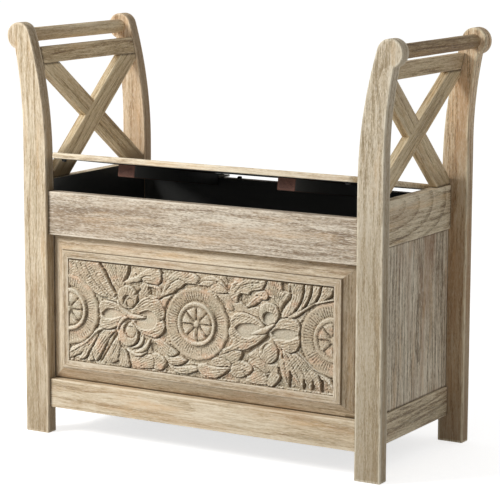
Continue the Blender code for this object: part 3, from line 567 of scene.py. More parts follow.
def bar_strip(direction, width):
    """Outline of a bar that crosses the side frame, longer than it will be."""
    along = (math.cos(BAR_SLOPE), direction * math.sin(BAR_SLOPE))
    across = (-along[1], along[0])
    corners = ((-BAR_REACH, -width / 2), (BAR_REACH, -width / 2), (BAR_REACH, width / 2),
               (-BAR_REACH, width / 2))
    return [(s * along[0] + t * across[0], BAR_MIDDLE_Z + s * along[1] + t * across[1]) for s, t in corners]


def lean_edge(z):
    """Inner face of the bars at a height: a straight line between the ends of the posts' sweep."""
    low, high = inner_edge(SIDE_TOP[1]), inner_edge(ARM_RAIL_LOW)
    return low + (high - low) * (z - SIDE_TOP[1]) / (ARM_RAIL_LOW - SIDE_TOP[1])


def evaluated_mesh(thing):
    """Plain mesh of an object with its modifiers applied."""
    return bpy.data.meshes.new_from_object(thing.evaluated_get(bpy.context.evaluated_depsgraph_get()))


def lapped_bar(name, side, direction):
    """One bar of a cross, with the half lap cut where the other bar passes."""
    outline = bar_strip(direction, BAR_WIDTH)
    for limit in (lambda p: p[0] + SIDE_HALF, lambda p: SIDE_HALF - p[0],
                  lambda p: p[1] - SIDE_TOP[1] - JOINT_GAP, lambda p: ARM_RAIL_LOW - JOINT_GAP - p[1]):
        outline = clip(outline, limit)
    lean = side * (lean_edge(ARM_RAIL_LOW) - lean_edge(SIDE_TOP[1])) / (ARM_RAIL_LOW - SIDE_TOP[1])
    along = (lean * direction * math.sin(BAR_SLOPE), math.cos(BAR_SLOPE), direction * math.sin(BAR_SLOPE))
    bar = eased_board(
        "limed_" + name, [(a, b, True) for a, b in outline], BAR_THICKNESS,
        lambda a, b, d: (side * (lean_edge(b) + d), a, b), ARM_EDGE, along, (1, 0, -lean), bar_wood[side],
        joint=lambda p: (abs(p.y) > SIDE_HALF - JOINT_REACH
                         or not SIDE_TOP[1] + JOINT_REACH < p.z < ARM_RAIL_LOW - JOINT_REACH))
    whole_on_outside = (direction > 0) == (side > 0)
    lap = BAR_THICKNESS / 2 + JOINT_GAP / 2
    start = -CUTTER_PROUD if whole_on_outside else BAR_THICKNESS - lap
    stop = lap if whole_on_outside else BAR_THICKNESS + CUTTER_PROUD
    shape = bmesh.new()
    loops = [[shape.verts.new((side * (lean_edge(b) + depth), a, b))
              for a, b in bar_strip(-direction, BAR_WIDTH + 2 * JOINT_GAP)] for depth in (start, stop)]
    cutter = added("lap", skinned("lap", shape, loops))
    bar.modifiers.clear()
    cut = bar.modifiers.new("half_lap", "BOOLEAN")
    cut.object, cut.operation, cut.solver = cutter, "DIFFERENCE", "EXACT"
    plain = evaluated_mesh(bar)
    bar.modifiers.clear()
    bar.data = plain
    plain.name = bar.name
    for label in ("grain", "tint"):
        plain.attributes.remove(plain.attributes[label])
    mark_grain(plain, along, (1, 0, -lean))
    keep_faces_flat(bar)
    plain.set_sharp_from_angle(angle=math.radians(50))
    bpy.data.objects.remove(cutter, do_unlink=True)
    return bar


for side_name, side in SIDES:
    dowel = turned_rail("turned_arm_rail_" + side_name, (side * HEAD_X, 0.0, HEAD_Z), DOWEL_RADIUS,
                        DOWEL_LENGTH, DOWEL_SEED + side)
    if side > 0:
        dowel.data.materials[0] = arm_brown_wood
    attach(dowel, "bench")
    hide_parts("arm_dowel_" + side_name)
    low_x, high_x = inner_edge(ARM_RAIL_LOW), inner_edge(ARM_RAIL_HIGH)
    section = [(low_x, ARM_RAIL_LOW, True), (low_x + ARM_RAIL_THICKNESS, ARM_RAIL_LOW, True),
               (high_x + ARM_RAIL_THICKNESS, ARM_RAIL_HIGH, True), (high_x, ARM_RAIL_HIGH, True)]
    flat_rail = eased_board(
        "limed_arm_rail_" + side_name, section, 2 * SIDE_HALF,
        lambda a, b, d: (side * a, d - SIDE_HALF, b), ARM_EDGE, (0, 1, 0), (0, 0, 1), arm_wood,
        joint=lambda p: abs(p.y) > SIDE_HALF - JOINT_REACH)
    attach(flat_rail, "bench")
    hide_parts("arm_rail_" + side_name)
    for kind, direction in (("rising", 1), ("falling", -1)):
        name = "cross_bar_%s_%s" % (kind, side_name)
        bar = lapped_bar(name, side, direction)
        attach(bar, "bench")
        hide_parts(name)


# Carved front panel
# One board with bevelled edges, a raised border, and a sunk field carved by hand with leaves,
# scrolls and three rosettes. Lime stays pale in the spoon cuts; shade is painted into the other cuts
# and onto slopes that face the lower right, and highlights onto the crests.

BOARD_FACE, BOARD_BACK = -0.1527, -0.1427
BOARD_HALF, BOARD_LOW, BOARD_HIGH = 0.3212, 0.0826, 0.387
FIELD_FACE, FIELD_FLOOR = -0.1735, -0.1695
FIELD_HALF, FIELD_LOW, FIELD_HIGH = 0.2767, 0.1433, 0.3347
FIELD_MIDDLE = (FIELD_LOW + FIELD_HIGH) / 2
BORDER, BEVEL, END_BEVEL, STEP = 0.0135, 0.0255, 0.030, 0.004
COLUMNS, ROWS = 469, 163
SOFT_STEPS = 7                # points of a soft curve for each point that is given
FLOOR_CUT = -3.0              # depth of the cuts under the floor of the field, in millimetres
LEAST_HEIGHT, MOST_HEIGHT = -3.6, 4.9
RELIEF_GAIN = 1.3             # all heights are cut this much deeper than they are drawn
HATCH_PITCH = 4.2             # from one chisel line to the next, in millimetres
WANDER_SEED, CHATTER_SEED = 3, 5


def smooth_loop(points, closed=True):
    """A soft curve through a few points, closed or open."""
    points = np.array(points, float)
    count = len(points)
    found = []
    for i in range(count if closed else count - 1):
        if closed:
            p0, p1, p2, p3 = (points[(i + k) % count] for k in (-1, 0, 1, 2))
        else:
            p0, p1, p2, p3 = (points[min(max(i + k, 0), count - 1)] for k in (-1, 0, 1, 2))
        for step in range(SOFT_STEPS):
            t = step / SOFT_STEPS
            found.append(0.5 * (2 * p1 + (p2 - p0) * t + (2 * p0 - 5 * p1 + 4 * p2 - p3) * t * t
                                + (3 * p1 - p0 - 3 * p2 + p3) * t ** 3))
    if not closed:
        found.append(points[-1])
    return np.array(found)


def stroke(points, widths):
    """Outline of a tapering blade along a soft line, with one width for each point."""
    line = smooth_loop([(x, z, w) for (x, z), w in zip(points, widths)], closed=False)
    heading = np.gradient(line[:, :2], axis=0)
    heading /= np.linalg.norm(heading, axis=1)[:, None] + 1e-9
    normal = np.stack([-heading[:, 1], heading[:, 0]], axis=1)
    half = line[:, 2:3] / 2
    return np.concatenate([line[:, :2] + normal * half, (line[:, :2] - normal * half)[::-1]])


class Relief:
    """Height of the carving over the floor of its field, in millimetres."""

    def __init__(self):
        self.x = np.linspace(-FIELD_HALF, FIELD_HALF, COLUMNS) * 1000
        self.z = np.linspace(FIELD_LOW, FIELD_HIGH, ROWS) * 1000
        self.height = np.zeros((ROWS, COLUMNS))
        self.smooth = np.zeros((ROWS, COLUMNS))
        cell = 6
        coarse = np.random.default_rng(WANDER_SEED).normal(0.0, 1.0, (ROWS // cell + 2, COLUMNS // cell + 2))
        self.wander = np.kron(coarse, np.ones((cell, cell)))[:ROWS, :COLUMNS]
        for axis in (0, 1, 0, 1):
            self.wander = sum(np.roll(self.wander, k, axis) for k in range(-3, 4)) / 7
        self.wander *= 2.0

    def window(self, outline, margin):
        """Rows and columns of the field round an outline, and where their places lie."""
        low, high = outline.min(axis=0) - margin, outline.max(axis=0) + margin
        columns = slice(*np.searchsorted(self.x, (low[0], high[0])))
        rows = slice(*np.searchsorted(self.z, (low[1], high[1])))
        return rows, columns, np.meshgrid(self.x[columns], self.z[rows])

    def reach(self, grid, line, closed):
        """Distance of the places to a line, and whether they lie inside it."""
        x, z = grid
        ends = np.roll(line, -1, axis=0) if closed else line[1:]
        starts = line if closed else line[:-1]
        nearest = np.full(x.shape, 1e9)
        inside = np.zeros(x.shape, bool)
        for (ax, az), (bx, bz) in zip(starts, ends):
            run = (bx - ax) ** 2 + (bz - az) ** 2 + 1e-9
            t = np.clip(((x - ax) * (bx - ax) + (z - az) * (bz - az)) / run, 0, 1)
            nearest = np.minimum(nearest, (x - ax - t * (bx - ax)) ** 2 + (z - az - t * (bz - az)) ** 2)
            if closed and az != bz:
                crosses = (az > z) != (bz > z)
                inside ^= crosses & (x < (bx - ax) * (z - az) / (bz - az) + ax)
        return np.sqrt(nearest), inside

    def rise(self, grid, outline, turn):
        """How far each place lies across a form, from its low upper left side to its high side."""
        heading = np.array((math.cos(math.radians(turn)), math.sin(math.radians(turn))))
        spread = outline @ heading
        return np.clip((grid[0] * heading[0] + grid[1] * heading[1] - spread.min()) / np.ptp(spread), 0, 1)

    def leaf(self, outline, top=4.0, dome=0.4, tilt=0.45, hatch=None, turn=-45.0, cut=2.4):
        """A domed form that rises towards its lower right, where a deep cut parts it from the ground."""
        outline = np.asarray(outline, float)
        rows, columns, grid = self.window(outline, cut + 2.0)
        if not grid[0].size:
            return
        away, inside = self.reach(grid, outline, True)
        patch = self.height[rows, columns]
        rise = self.rise(grid, outline, turn)
        brow_width, least_middle = 1.8, 2.0
        fade = np.clip(1 - away / (0.85 * cut * (0.35 + 0.65 * rise)), 0, 1)
        moat = patch + (FLOOR_CUT - patch) * fade * fade * (3 - 2 * fade) * rise ** 1.3
        brow = np.sqrt(1 - (1 - np.clip(away / brow_width, 0, 1)) ** 2)
        bulge = np.sqrt(1 - (1 - np.clip(away / max(least_middle, (away * inside).max()), 0, 1)) ** 2)
        form = top * (1 - tilt * (1 - rise)) * ((1 - dome) * brow + dome * bulge)
        if hatch is not None:
            form += self.hatching(rows, columns, grid, hatch) * np.clip((away - 0.8) / 2.0, 0, 1)
        self.height[rows, columns] = np.where(inside, form, moat)

    def hatching(self, rows, columns, grid, hatch):
        """Fine chisel lines at an angle, or along rays from a point."""
        wobble = self.wander[rows, columns]
        if isinstance(hatch, tuple):
            band = 18.0
            turn = np.arctan2(grid[1] - hatch[1], grid[0] - hatch[0])
            far = np.hypot(grid[1] - hatch[1], grid[0] - hatch[0])
            across = turn * np.maximum(band, band * np.round(far / band)) + wobble * 0.5
        else:
            across = (grid[1] * math.cos(math.radians(hatch)) - grid[0] * math.sin(math.radians(hatch))
                      + wobble * 0.9)
        strength = 0.56 + 0.10 * np.roll(self.wander, (9, 23), (0, 1))[rows, columns]
        return strength * np.cos(across * 2 * math.pi / HATCH_PITCH) - 0.3 + 0.2 * wobble

    def groove(self, points, width=1.8, depth=1.0, smooth=True):
        """A gouge cut along a soft line."""
        line = smooth_loop(points, closed=False) if smooth else np.asarray(points, float)
        rows, columns, grid = self.window(line, width + 1.0)
        if not grid[0].size:
            return
        away, _ = self.reach(grid, line, False)
        share = np.clip(1 - away / width, 0, 1)
        self.height[rows, columns] -= depth * share * share * (3 - 2 * share)

    def hollow(self, outline, depth, shoulder=1.5):
        """A spoon cut, steep at its upper left and rising softly to its lower right."""
        turn = -50.0
        outline = np.asarray(outline, float)
        rows, columns, grid = self.window(outline, 1.0)
        away, inside = self.reach(grid, outline, True)
        share = np.sin(np.clip(away / shoulder, 0, 1) * math.pi / 2)
        fall = 0.30 + 0.70 * (1 - self.rise(grid, outline, turn)) ** 1.3
        patch = self.height[rows, columns]
        level = patch + (np.median(patch[inside]) - patch) * 0.85 * share
        self.height[rows, columns] = np.where(inside, level - depth * share * fall, patch)
        self.smooth[rows, columns] = np.maximum(self.smooth[rows, columns], inside * share)

    def stipple(self, outline):
        """Ground punched with a small round tool, in rows that wander."""
        pitch, slant, depth = 1.9, 0.7, 0.75
        outline = np.asarray(outline, float)
        rows, columns, grid = self.window(outline, 1.0)
        _, inside = self.reach(grid, outline, True)
        waves = np.cos(grid[0] * pitch + self.wander[rows, columns] * 2)
        dots = waves * np.cos(grid[1] * pitch + grid[0] * slant)
        patch = self.height[rows, columns]
        self.height[rows, columns] = np.where(inside, FLOOR_CUT * 0.5 + depth * dots, patch)


relief = Relief()


def round_form(x, z, radius):
    """Outline of a round form."""
    return np.array([(x + radius * math.cos(t), z + radius * math.sin(t))
                     for t in np.linspace(0, 2 * math.pi, 33)[:-1]])


def crescent(x, z, radius, start, stop, thick):
    """Outline of a crescent cut that hugs one side of a circle."""
    steps = 15
    turns = np.radians(np.linspace(start, stop, steps))
    ways = np.stack([np.cos(turns), np.sin(turns)], axis=1)
    inner_radius = radius - thick * np.sin(np.linspace(0, math.pi, steps))
    outer, inner = (x, z) + radius * ways, (x, z) + inner_radius[:, None] * ways
    return np.concatenate([outer, inner[::-1]])


# bare ground under the leaves keeps chisel marks, and round beds are sunk for the rosettes
relief.height += 0.5 * relief.wander
BED_RADIUS, BED_Z, BED_CUT = 71, 240, 0.4 * FLOOR_CUT
x, z = np.meshgrid(relief.x, relief.z)
for middle in (-277.0, 0.0, 278.0):
    relief.height = np.where(np.hypot(x - middle, z - BED_Z) < BED_RADIUS, BED_CUT, relief.height)

# each leaf is its top height in millimetres, the angle or centre of its hatching, and its outline;
# low leaves between the main forms
for top, hatch, *outline in (
        (3.4, 28, (-170, 264), (-190, 266), (-210, 271), (-228, 281), (-245, 295), (-262, 303), (-279, 306),
         (-279, 336), (-212, 336), (-207, 328), (-198, 316), (-190, 303), (-181, 290), (-172, 277)),
        (4.2, 34, (-200, 270), (-216, 276), (-232, 287), (-246, 302), (-256, 318), (-262, 336), (-242, 336),
         (-236, 322), (-224, 304), (-208, 287), (-190, 272)),
        (4.3, 22, (-178, 272), (-192, 282), (-206, 297), (-217, 313), (-225, 336), (-212, 336), (-205, 324),
         (-195, 309), (-184, 292), (-173, 277)),
        (3.2, 62, (-158, 286), (-166, 292), (-174, 300), (-184, 312), (-196, 330), (-198, 336), (-146, 336),
         (-146, 326), (-148, 314), (-152, 302), (-155, 293)),
        (2.6, 60, (-112, 304), (-100, 301), (-91, 300), (-88, 290), (-94, 280), (-106, 280), (-116, 286),
         (-120, 297)),
        (3, 70, (-98, 300), (-86, 302), (-76, 296), (-74, 284), (-84, 278), (-94, 280)),
        (2.2, None, (-77, 271), (-70, 284), (-57, 288), (-52, 288), (-60, 278), (-66, 266), (-69, 262)),
        (1.6, 60, (-128, 208), (-110, 208), (-96, 204), (-86, 198), (-88, 184), (-98, 176), (-116, 176),
         (-126, 190)),
        (2, 20, (15, 300), (28, 303), (38, 300), (43, 290), (40, 280), (28, 284), (18, 290)),
        (2.8, 130, (38, 299), (48, 304), (64, 305), (76, 298), (80, 286), (76, 274), (64, 272), (58, 284),
         (48, 292)),
        (2.4, 150, (74, 300), (86, 299), (100, 288), (112, 282), (126, 284), (132, 276), (126, 266),
         (100, 272), (84, 272), (74, 282)),
        (2.8, (150, 262), (142, 336), (140, 320), (144, 308), (158, 300), (168, 292), (173, 290), (187, 304),
         (189, 318), (188, 336)),
        (3.4, 60, (174, 286), (180, 296), (188, 304), (191, 309), (189, 317), (180, 312), (172, 302),
         (168, 292)),
        (2.6, 30, (52, 200), (66, 206), (80, 204), (92, 200), (90, 188), (80, 180), (64, 176), (50, 182),
         (44, 188)),
        (2.8, 25, (40, 184), (56, 184), (70, 178), (68, 168), (52, 168), (34, 170), (30, 178)),
        (1.8, 40, (104, 200), (120, 206), (130, 200), (132, 188), (124, 178), (110, 176), (98, 182),
         (94, 192)),
        (3, 20, (116, 182), (128, 190), (146, 186), (158, 180), (156, 170), (140, 164), (124, 168),
         (112, 174)),
        (2.6, 60, (140, 182), (152, 184), (166, 186), (174, 176), (172, 164), (160, 160), (150, 168))):
    relief.leaf(smooth_loop(outline), top, 0.3, 0.25, hatch, cut=1.5)
relief.groove(((-210, 336), (-204, 327), (-195, 314), (-186, 299), (-175, 281)), 3.4, 3.8)
relief.groove(((-143, 336), (-144, 326), (-146, 316), (-153, 304)), 3.6, 3.6)
for patch in (
        [(-80, 334), (-58, 334), (-62, 326), (-76, 322)], [(-100, 298), (-84, 296), (-84, 281), (-98, 282)],
        [(-98, 196), (-83, 196), (-82, 178), (-96, 180)], [(58, 334), (80, 334), (74, 320), (64, 320)],
        [(88, 302), (106, 302), (108, 290), (100, 283), (90, 290)],
        [(172, 332), (186, 332), (186, 316), (174, 316)],
        [(92, 196), (104, 200), (112, 192), (104, 180), (92, 182)],
        [(-66, 158), (-54, 160), (-50, 148), (-66, 146)], [(60, 160), (76, 156), (80, 146), (52, 146)]):
    relief.stipple(patch)

# leaves along the top, from left to right
for top, hatch, *outline in (
        (4, None, (-153, 303), (-143, 309), (-130, 314), (-118, 319), (-111, 313), (-120, 306), (-134, 303),
         (-144, 300)),
        (4.2, 20, (-126, 315), (-112, 326), (-98, 333), (-84, 335), (-75, 327), (-74, 314), (-80, 304),
         (-92, 303), (-104, 304), (-114, 308)),
        (4.6, 35, (-84, 275), (-77, 284), (-70, 297), (-62, 314), (-52, 326), (-42, 333), (-26, 335),
         (-8, 332), (6, 323), (2, 313), (-14, 311), (-24, 310.5), (-32, 303), (-42, 298), (-56, 289),
         (-68, 283)),
        (4.2, 15, (-1, 312), (7, 322), (21, 328), (38, 329), (54, 322), (64, 308), (67, 302), (56, 304),
         (44, 310), (28, 311), (14, 311)),
        (4.4, 30, (28, 309), (36, 318), (46, 319), (56, 314), (64, 304), (52, 301), (36, 302)),
        (4.6, 30, (67, 304), (72, 318), (83, 330), (93, 335), (142, 336), (143, 330), (138, 320), (134, 315),
         (118, 312.5), (111, 309), (108, 304), (98, 305), (90, 303), (86, 298), (84, 288), (76, 290),
         (70, 297)),
        (4, 40, (104, 280), (108, 291), (117, 305), (128, 312), (140, 314), (147, 306), (144, 298),
         (134, 297), (126, 290), (116, 284))):
    relief.leaf(smooth_loop(outline), top, 0.3, 0.4, hatch)
for line in (
        ((-66, 292), (-58, 303), (-50, 312), (-38, 318), (-28, 315), (-23, 311)),
        ((-118, 305), (-114, 314), (-104, 318), (-95, 317)), ((-104, 303.5), (-90, 303.5)),
        ((4, 314), (14, 320), (28, 322), (44, 321)), ((80, 306), (92, 318), (108, 324), (130, 327)),
        ((109, 291), (117, 301), (126, 304), (136, 304))):
    relief.groove(line, 2.2, 1.9)
relief.groove(((-101, 296), (-99, 285)), 4.0, 2.6)
relief.groove(((-83, 274), (-72, 282), (-58, 287), (-46, 292), (-40, 299), (-31, 302.5), (-24, 309.5),
               (-4, 311.5)), 2.4, 3.0)

# fan of blades in the lower left corner
for top, hatch, *outline in (
        (3.2, 38, (-216, 210), (-232, 196), (-250, 182), (-279, 166), (-279, 148), (-262, 154), (-250, 160),
         (-240, 172), (-226, 188)),
        (3.6, 50, (-210, 208), (-226, 194), (-238, 178), (-248, 160), (-256, 148), (-240, 152), (-232, 166),
         (-220, 184)),
        (3.9, 58, (-198, 210), (-208, 200), (-218, 184), (-226, 168), (-236, 148), (-219, 152), (-214, 168),
         (-206, 186), (-196, 200)),
        (4.6, 52, (-174, 210), (-184, 200), (-192, 186), (-202, 168), (-215, 149), (-222, 156), (-224, 170),
         (-214, 188), (-202, 202), (-190, 211)),
        (4.4, 65, (-172, 200), (-165, 188), (-161, 174), (-163, 162), (-170, 154), (-182, 149), (-191, 152),
         (-193, 164), (-187, 178), (-180, 190)),
        (3.8, 80, (-162, 180), (-152, 174), (-146, 162), (-143, 146), (-160, 146), (-167, 156), (-166, 170))):
    relief.leaf(smooth_loop(outline), top, 0.35, 0.5, hatch, cut=3.4)
relief.groove(((-172, 205), (-183, 185), (-196, 166), (-207, 150)), 3.0, 3.4)
relief.groove(((-149, 174), (-145, 162)), 3.6, 3.2)
relief.groove(((-170, 200), (-176, 196)), 5.0, 3.0)
relief.leaf(stroke(((-279, 158), (-256, 171), (-236, 184), (-222, 198), (-208, 209), (-188, 214)),
                   (4, 4, 4, 4, 5, 2)), 4.2, 0.4, 0.2, cut=1.2)
relief.groove(((-279, 166), (-257, 177), (-237, 189), (-223, 203), (-213, 216)), 2.6, 3.0)

# fingers and stem in the upper right corner
for top, hatch, *outline in (
        (4.8, 68, (168, 270), (176, 284), (188, 297), (194, 310), (192, 336), (216, 336), (215, 315),
         (211, 300), (200, 284), (188, 273)),
        (4.6, 68, (196, 279), (206, 289), (214, 302), (219, 318), (220, 336), (232, 336), (229, 313),
         (223, 299), (212, 286)),
        (4.6, 62, (212, 284), (222, 294), (229, 306), (234, 318), (236, 336), (251, 336), (248, 319),
         (241, 306), (228, 292)),
        (4.6, 52, (228, 291), (242, 304), (250, 318), (255, 336), (279, 336), (275, 325), (271, 317),
         (261, 309), (246, 300))):
    relief.leaf(smooth_loop(outline), top, 0.35, 0.55, hatch, turn=-30.0, cut=4.2)
relief.groove(((191, 310), (186, 302), (179, 294), (174, 285), (171, 270)), 4.0, 4.0)
for line in (
        ((217, 334), (216, 315), (212, 301), (202, 285)), ((233, 332), (230, 313), (224, 299), (217, 290)),
        ((252, 334), (249, 319), (243, 307)), ((276, 326), (271, 316), (261, 309))):
    relief.groove(line, 3.0, 3.4)
relief.leaf(stroke(((186, 271), (200, 277), (216, 286), (238, 300), (256, 306), (279, 312)),
                   (6, 8, 6, 4, 4, 3)), 4.2, 0.4, 0.3, cut=1.6)
relief.groove(((197, 270), (209, 277), (221, 287), (240, 299)), 2.4, 3.0)

# toothed leaf in the lower right corner, with a vein to each tooth
relief.stipple([(166, 182), (279, 182), (279, 146), (166, 146)])
relief.leaf([(172, 212), (169, 196), (171, 180), (177, 164), (188, 147), (190, 160), (192, 174), (199, 168),
             (208, 158), (217, 147), (218, 155), (219, 163), (226, 155), (234, 147), (235, 154), (237, 161),
             (244, 154), (253, 146), (253, 158), (249, 171), (261, 167), (271, 159), (279, 148), (278, 160),
             (270, 171), (257, 177), (243, 181), (231, 188), (219, 199), (205, 208), (188, 213)], 4.3, 0.25,
            0.2, 47.0, turn=-60.0, cut=3.2)
for line in (
        ((177, 206), (181, 186), (186, 156)), ((183, 207), (196, 188), (206, 170), (213, 154)),
        ((191, 208), (208, 190), (221, 170), (230, 154)), ((202, 205), (222, 186), (238, 166), (249, 151)),
        ((214, 199), (234, 183), (256, 173), (273, 157))):
    relief.groove(line, 1.6, 1.6)
for line in (
        ((192, 176), (190, 163), (189, 147)), ((220, 165), (219, 156), (217, 147)),
        ((237, 163), (236, 155), (234, 147)), ((249, 174), (254, 162), (253, 147)), ((173, 212), (177, 198))):
    relief.groove(line, 3.0, 4.2)
relief.leaf(stroke(((205, 213), (221, 201), (236, 188), (254, 180)), (2, 3, 3, 2)), 4.0, 0.3, 0.1, cut=1.2)

# scallops and leaves along the bottom
for top, hatch, *outline in (
        (3.6, 25, (-140, 158), (-126, 168), (-108, 173), (-92, 171), (-84, 160), (-92, 150), (-110, 147),
         (-130, 147)),
        (4.2, 40, (-93, 176), (-80, 177), (-67, 169), (-63, 160), (-70, 150), (-78, 147), (-90, 150),
         (-89, 162)),
        (4.2, -30, (-86, 207), (-70, 201), (-54, 192), (-41, 184), (-41, 180), (-52, 175), (-66, 180),
         (-80, 191), (-90, 200)),
        (4.2, 15, (-68, 175), (-54, 175), (-40, 178), (-26, 174), (-21, 170), (-32, 163), (-46, 160),
         (-60, 164)),
        (4.2, 10, (-61, 163), (-46, 158), (-30, 160), (-12, 164), (1, 163), (4, 157), (-6, 152), (-20, 147.5),
         (-40, 147), (-53, 153)),
        (4.4, 12, (2, 166), (16, 169), (34, 167), (52, 168), (68, 169), (66, 162), (56, 155), (43, 147),
         (20, 147), (4, 155)),
        (4.2, 30, (70, 168), (76, 178), (90, 184), (106, 181), (116, 172), (111, 162), (101, 157), (86, 153),
         (74, 156)),
        (3.4, 25, (104, 158), (112, 166), (124, 169), (138, 167), (146, 158), (144, 147), (106, 147)),
        (4.2, 50, (146, 158), (152, 168), (162, 171), (171, 164), (168, 156), (158, 146), (146, 146))):
    relief.leaf(smooth_loop(outline), top, 0.45, 0.45, hatch, cut=3.2)
for line in (
        ((-78, 146), (-70, 151), (-63, 163)), ((-58, 174), (-46, 176), (-40, 182)),
        ((-48, 158.5), (-34, 161), (-26, 167), (-20, 172)), ((66, 165), (56, 155), (43, 147)),
        ((116, 171), (110, 162), (101, 159)), ((171, 161), (160, 147)),
        ((118, 178), (130, 172), (138, 167), (151, 170))):
    relief.groove(line, 2.6, 2.6)

# the crossed leaves left of the middle rosette
for top, hatch, *outline in (
        (4.6, 20, (-152, 246), (-166, 258), (-182, 263), (-200, 263), (-210, 254), (-208, 244), (-206, 231),
         (-207, 219), (-200, 212), (-188, 211), (-174, 216), (-160, 228), (-151, 238)),
        (5, 25, (-140, 246), (-134, 257), (-122, 270), (-110, 277), (-96, 280), (-80, 275), (-70, 263),
         (-67, 250), (-71, 240), (-66, 229), (-70, 218), (-77, 211), (-86, 206), (-98, 207), (-112, 210),
         (-124, 216), (-134, 228))):
    relief.leaf(smooth_loop(outline), top, 0.35, 0.35, hatch, cut=3.6)
relief.hollow(smooth_loop([(-203, 237), (-197, 246), (-188, 250.5), (-176, 250.5), (-164, 247), (-153, 241),
                           (-168, 235), (-182, 231), (-195, 230)]), 4.8)
relief.hollow(smooth_loop([(-122, 246), (-112, 252.5), (-100, 255), (-90, 252), (-84, 244), (-84, 232),
                           (-92, 222), (-108, 218), (-124, 222), (-132, 232), (-120, 236), (-111, 239),
                           (-110, 243)]), 4.8)
relief.groove(((-70, 241), (-76, 239)), 2.6, 2.6)
relief.groove(((-76, 263), (-86, 266)), 1.8, 1.8)
relief.leaf(round_form(-147, 275, 21.5), 4.4, 0.3, 0.2, (-147.0, 266.0), cut=2.8)
relief.hollow(crescent(-144, 266, 13.5, 75, 215, 7.5), 5.2, 1.0)
relief.leaf(round_form(-141, 265, 9.0), 3.6, 0.9, 0.3, None, cut=1.0)
relief.leaf(round_form(-146, 206, 22.0), 4.4, 0.3, 0.2, None, cut=3.4)
relief.hollow(crescent(-138, 214, 18.0, 80, 220, 7.5), 5.4, 1.0)
relief.leaf(round_form(-140, 211, 11.5), 3.8, 0.9, 0.3, None, cut=1.0)
relief.leaf(stroke(((-168, 268), (-163, 256), (-152, 246), (-140, 241), (-124, 240.5), (-108, 241)),
                   (5, 8, 11, 10, 8, 2)), 5.2, 0.5, 0.2, cut=2.2)
relief.leaf(stroke(((-168, 212), (-164, 224), (-156, 234), (-146, 239)), (5, 7, 8, 6)), 5.0, 0.5, 0.2,
            cut=1.6)
relief.groove(((-146, 233), (-128, 235), (-111, 237)), 2.2, 2.6)
relief.groove(((-136, 256), (-130, 262), (-122, 270)), 2.4, 2.4)
relief.groove(((-129, 281), (-124, 288), (-120, 291)), 3.0, 3.4)
for points, widths in ((((-150, 179), (-136, 173), (-120, 172), (-106, 179)), (3, 8, 9, 4)),
                       (((-132, 175), (-114, 181), (-104, 191), (-99, 203)), (3, 9, 9, 3)),
                       (((-138, 182), (-123, 188), (-115, 197), (-113, 209)), (3, 7, 7, 3))):
    relief.leaf(stroke(points, widths), 4.6, 0.7, 0.3, cut=2.0)
relief.groove(((-143, 183.5), (-132, 188), (-124.5, 197), (-123, 210)), 2.4, 3.2)

# the crossed leaves right of the middle rosette
for top, hatch, *outline in (
        (5, 35, (142, 246), (134, 257), (118, 266), (101, 270.5), (86, 270.5), (75, 264), (69, 254),
         (71, 246), (66, 237), (68, 225), (76, 217), (70, 209), (56, 200), (44, 188), (58, 194), (76, 202),
         (98, 204), (112, 210), (124, 217), (136, 227), (144, 236)),
        (4.8, 20, (148, 246), (158, 257), (172, 267), (191, 271), (206, 266), (211, 254), (208, 242),
         (211, 231), (208, 220), (201, 213), (190, 209), (178, 213), (164, 222), (152, 234))):
    relief.leaf(smooth_loop(outline), top, 0.35, 0.35, hatch, cut=3.6)
relief.hollow(smooth_loop([(80, 240), (84, 247), (92, 251.5), (106, 254), (122, 254), (132, 249), (136, 243),
                           (126, 236), (117, 230), (105, 226), (92, 229)]), 4.8)
relief.hollow(smooth_loop([(152, 241), (162, 248), (175, 251), (192, 251), (207, 248), (202, 238), (192, 232),
                           (179, 230), (164, 231)]), 4.8)
relief.groove(((209, 242), (203, 240)), 2.6, 2.6)
relief.leaf(round_form(148, 274, 20.5), 4.4, 0.3, 0.2, (148.0, 262.0), cut=2.4)
relief.hollow(round_form(148, 266, 12.0), 5.4, 1.2)
relief.leaf(round_form(147, 205, 19.5), 4.2, 0.5, 0.3, 40.0, cut=2.6)
relief.hollow(crescent(149, 208, 15.0, 70, 215, 6.0), 3.4, 1.2)
relief.leaf(stroke(((112, 234), (126, 239), (140, 244), (150, 250), (160, 257)), (2, 9, 12, 8, 4)), 5.2, 0.6,
            0.2, cut=1.6)
relief.groove(((146, 231), (134, 221), (118, 211), (106, 201), (96, 199)), 4.0, 4.4)
relief.groove(((102, 199), (94, 193), (90, 184)), 3.6, 3.2)
relief.groove(((106, 280.5), (116, 284.5), (126, 291)), 3.2, 3.4)
relief.groove(((92, 304), (87, 297), (88, 290)), 3.4, 3.2)
relief.groove(((56, 197), (44, 188)), 2.2, 2.6)

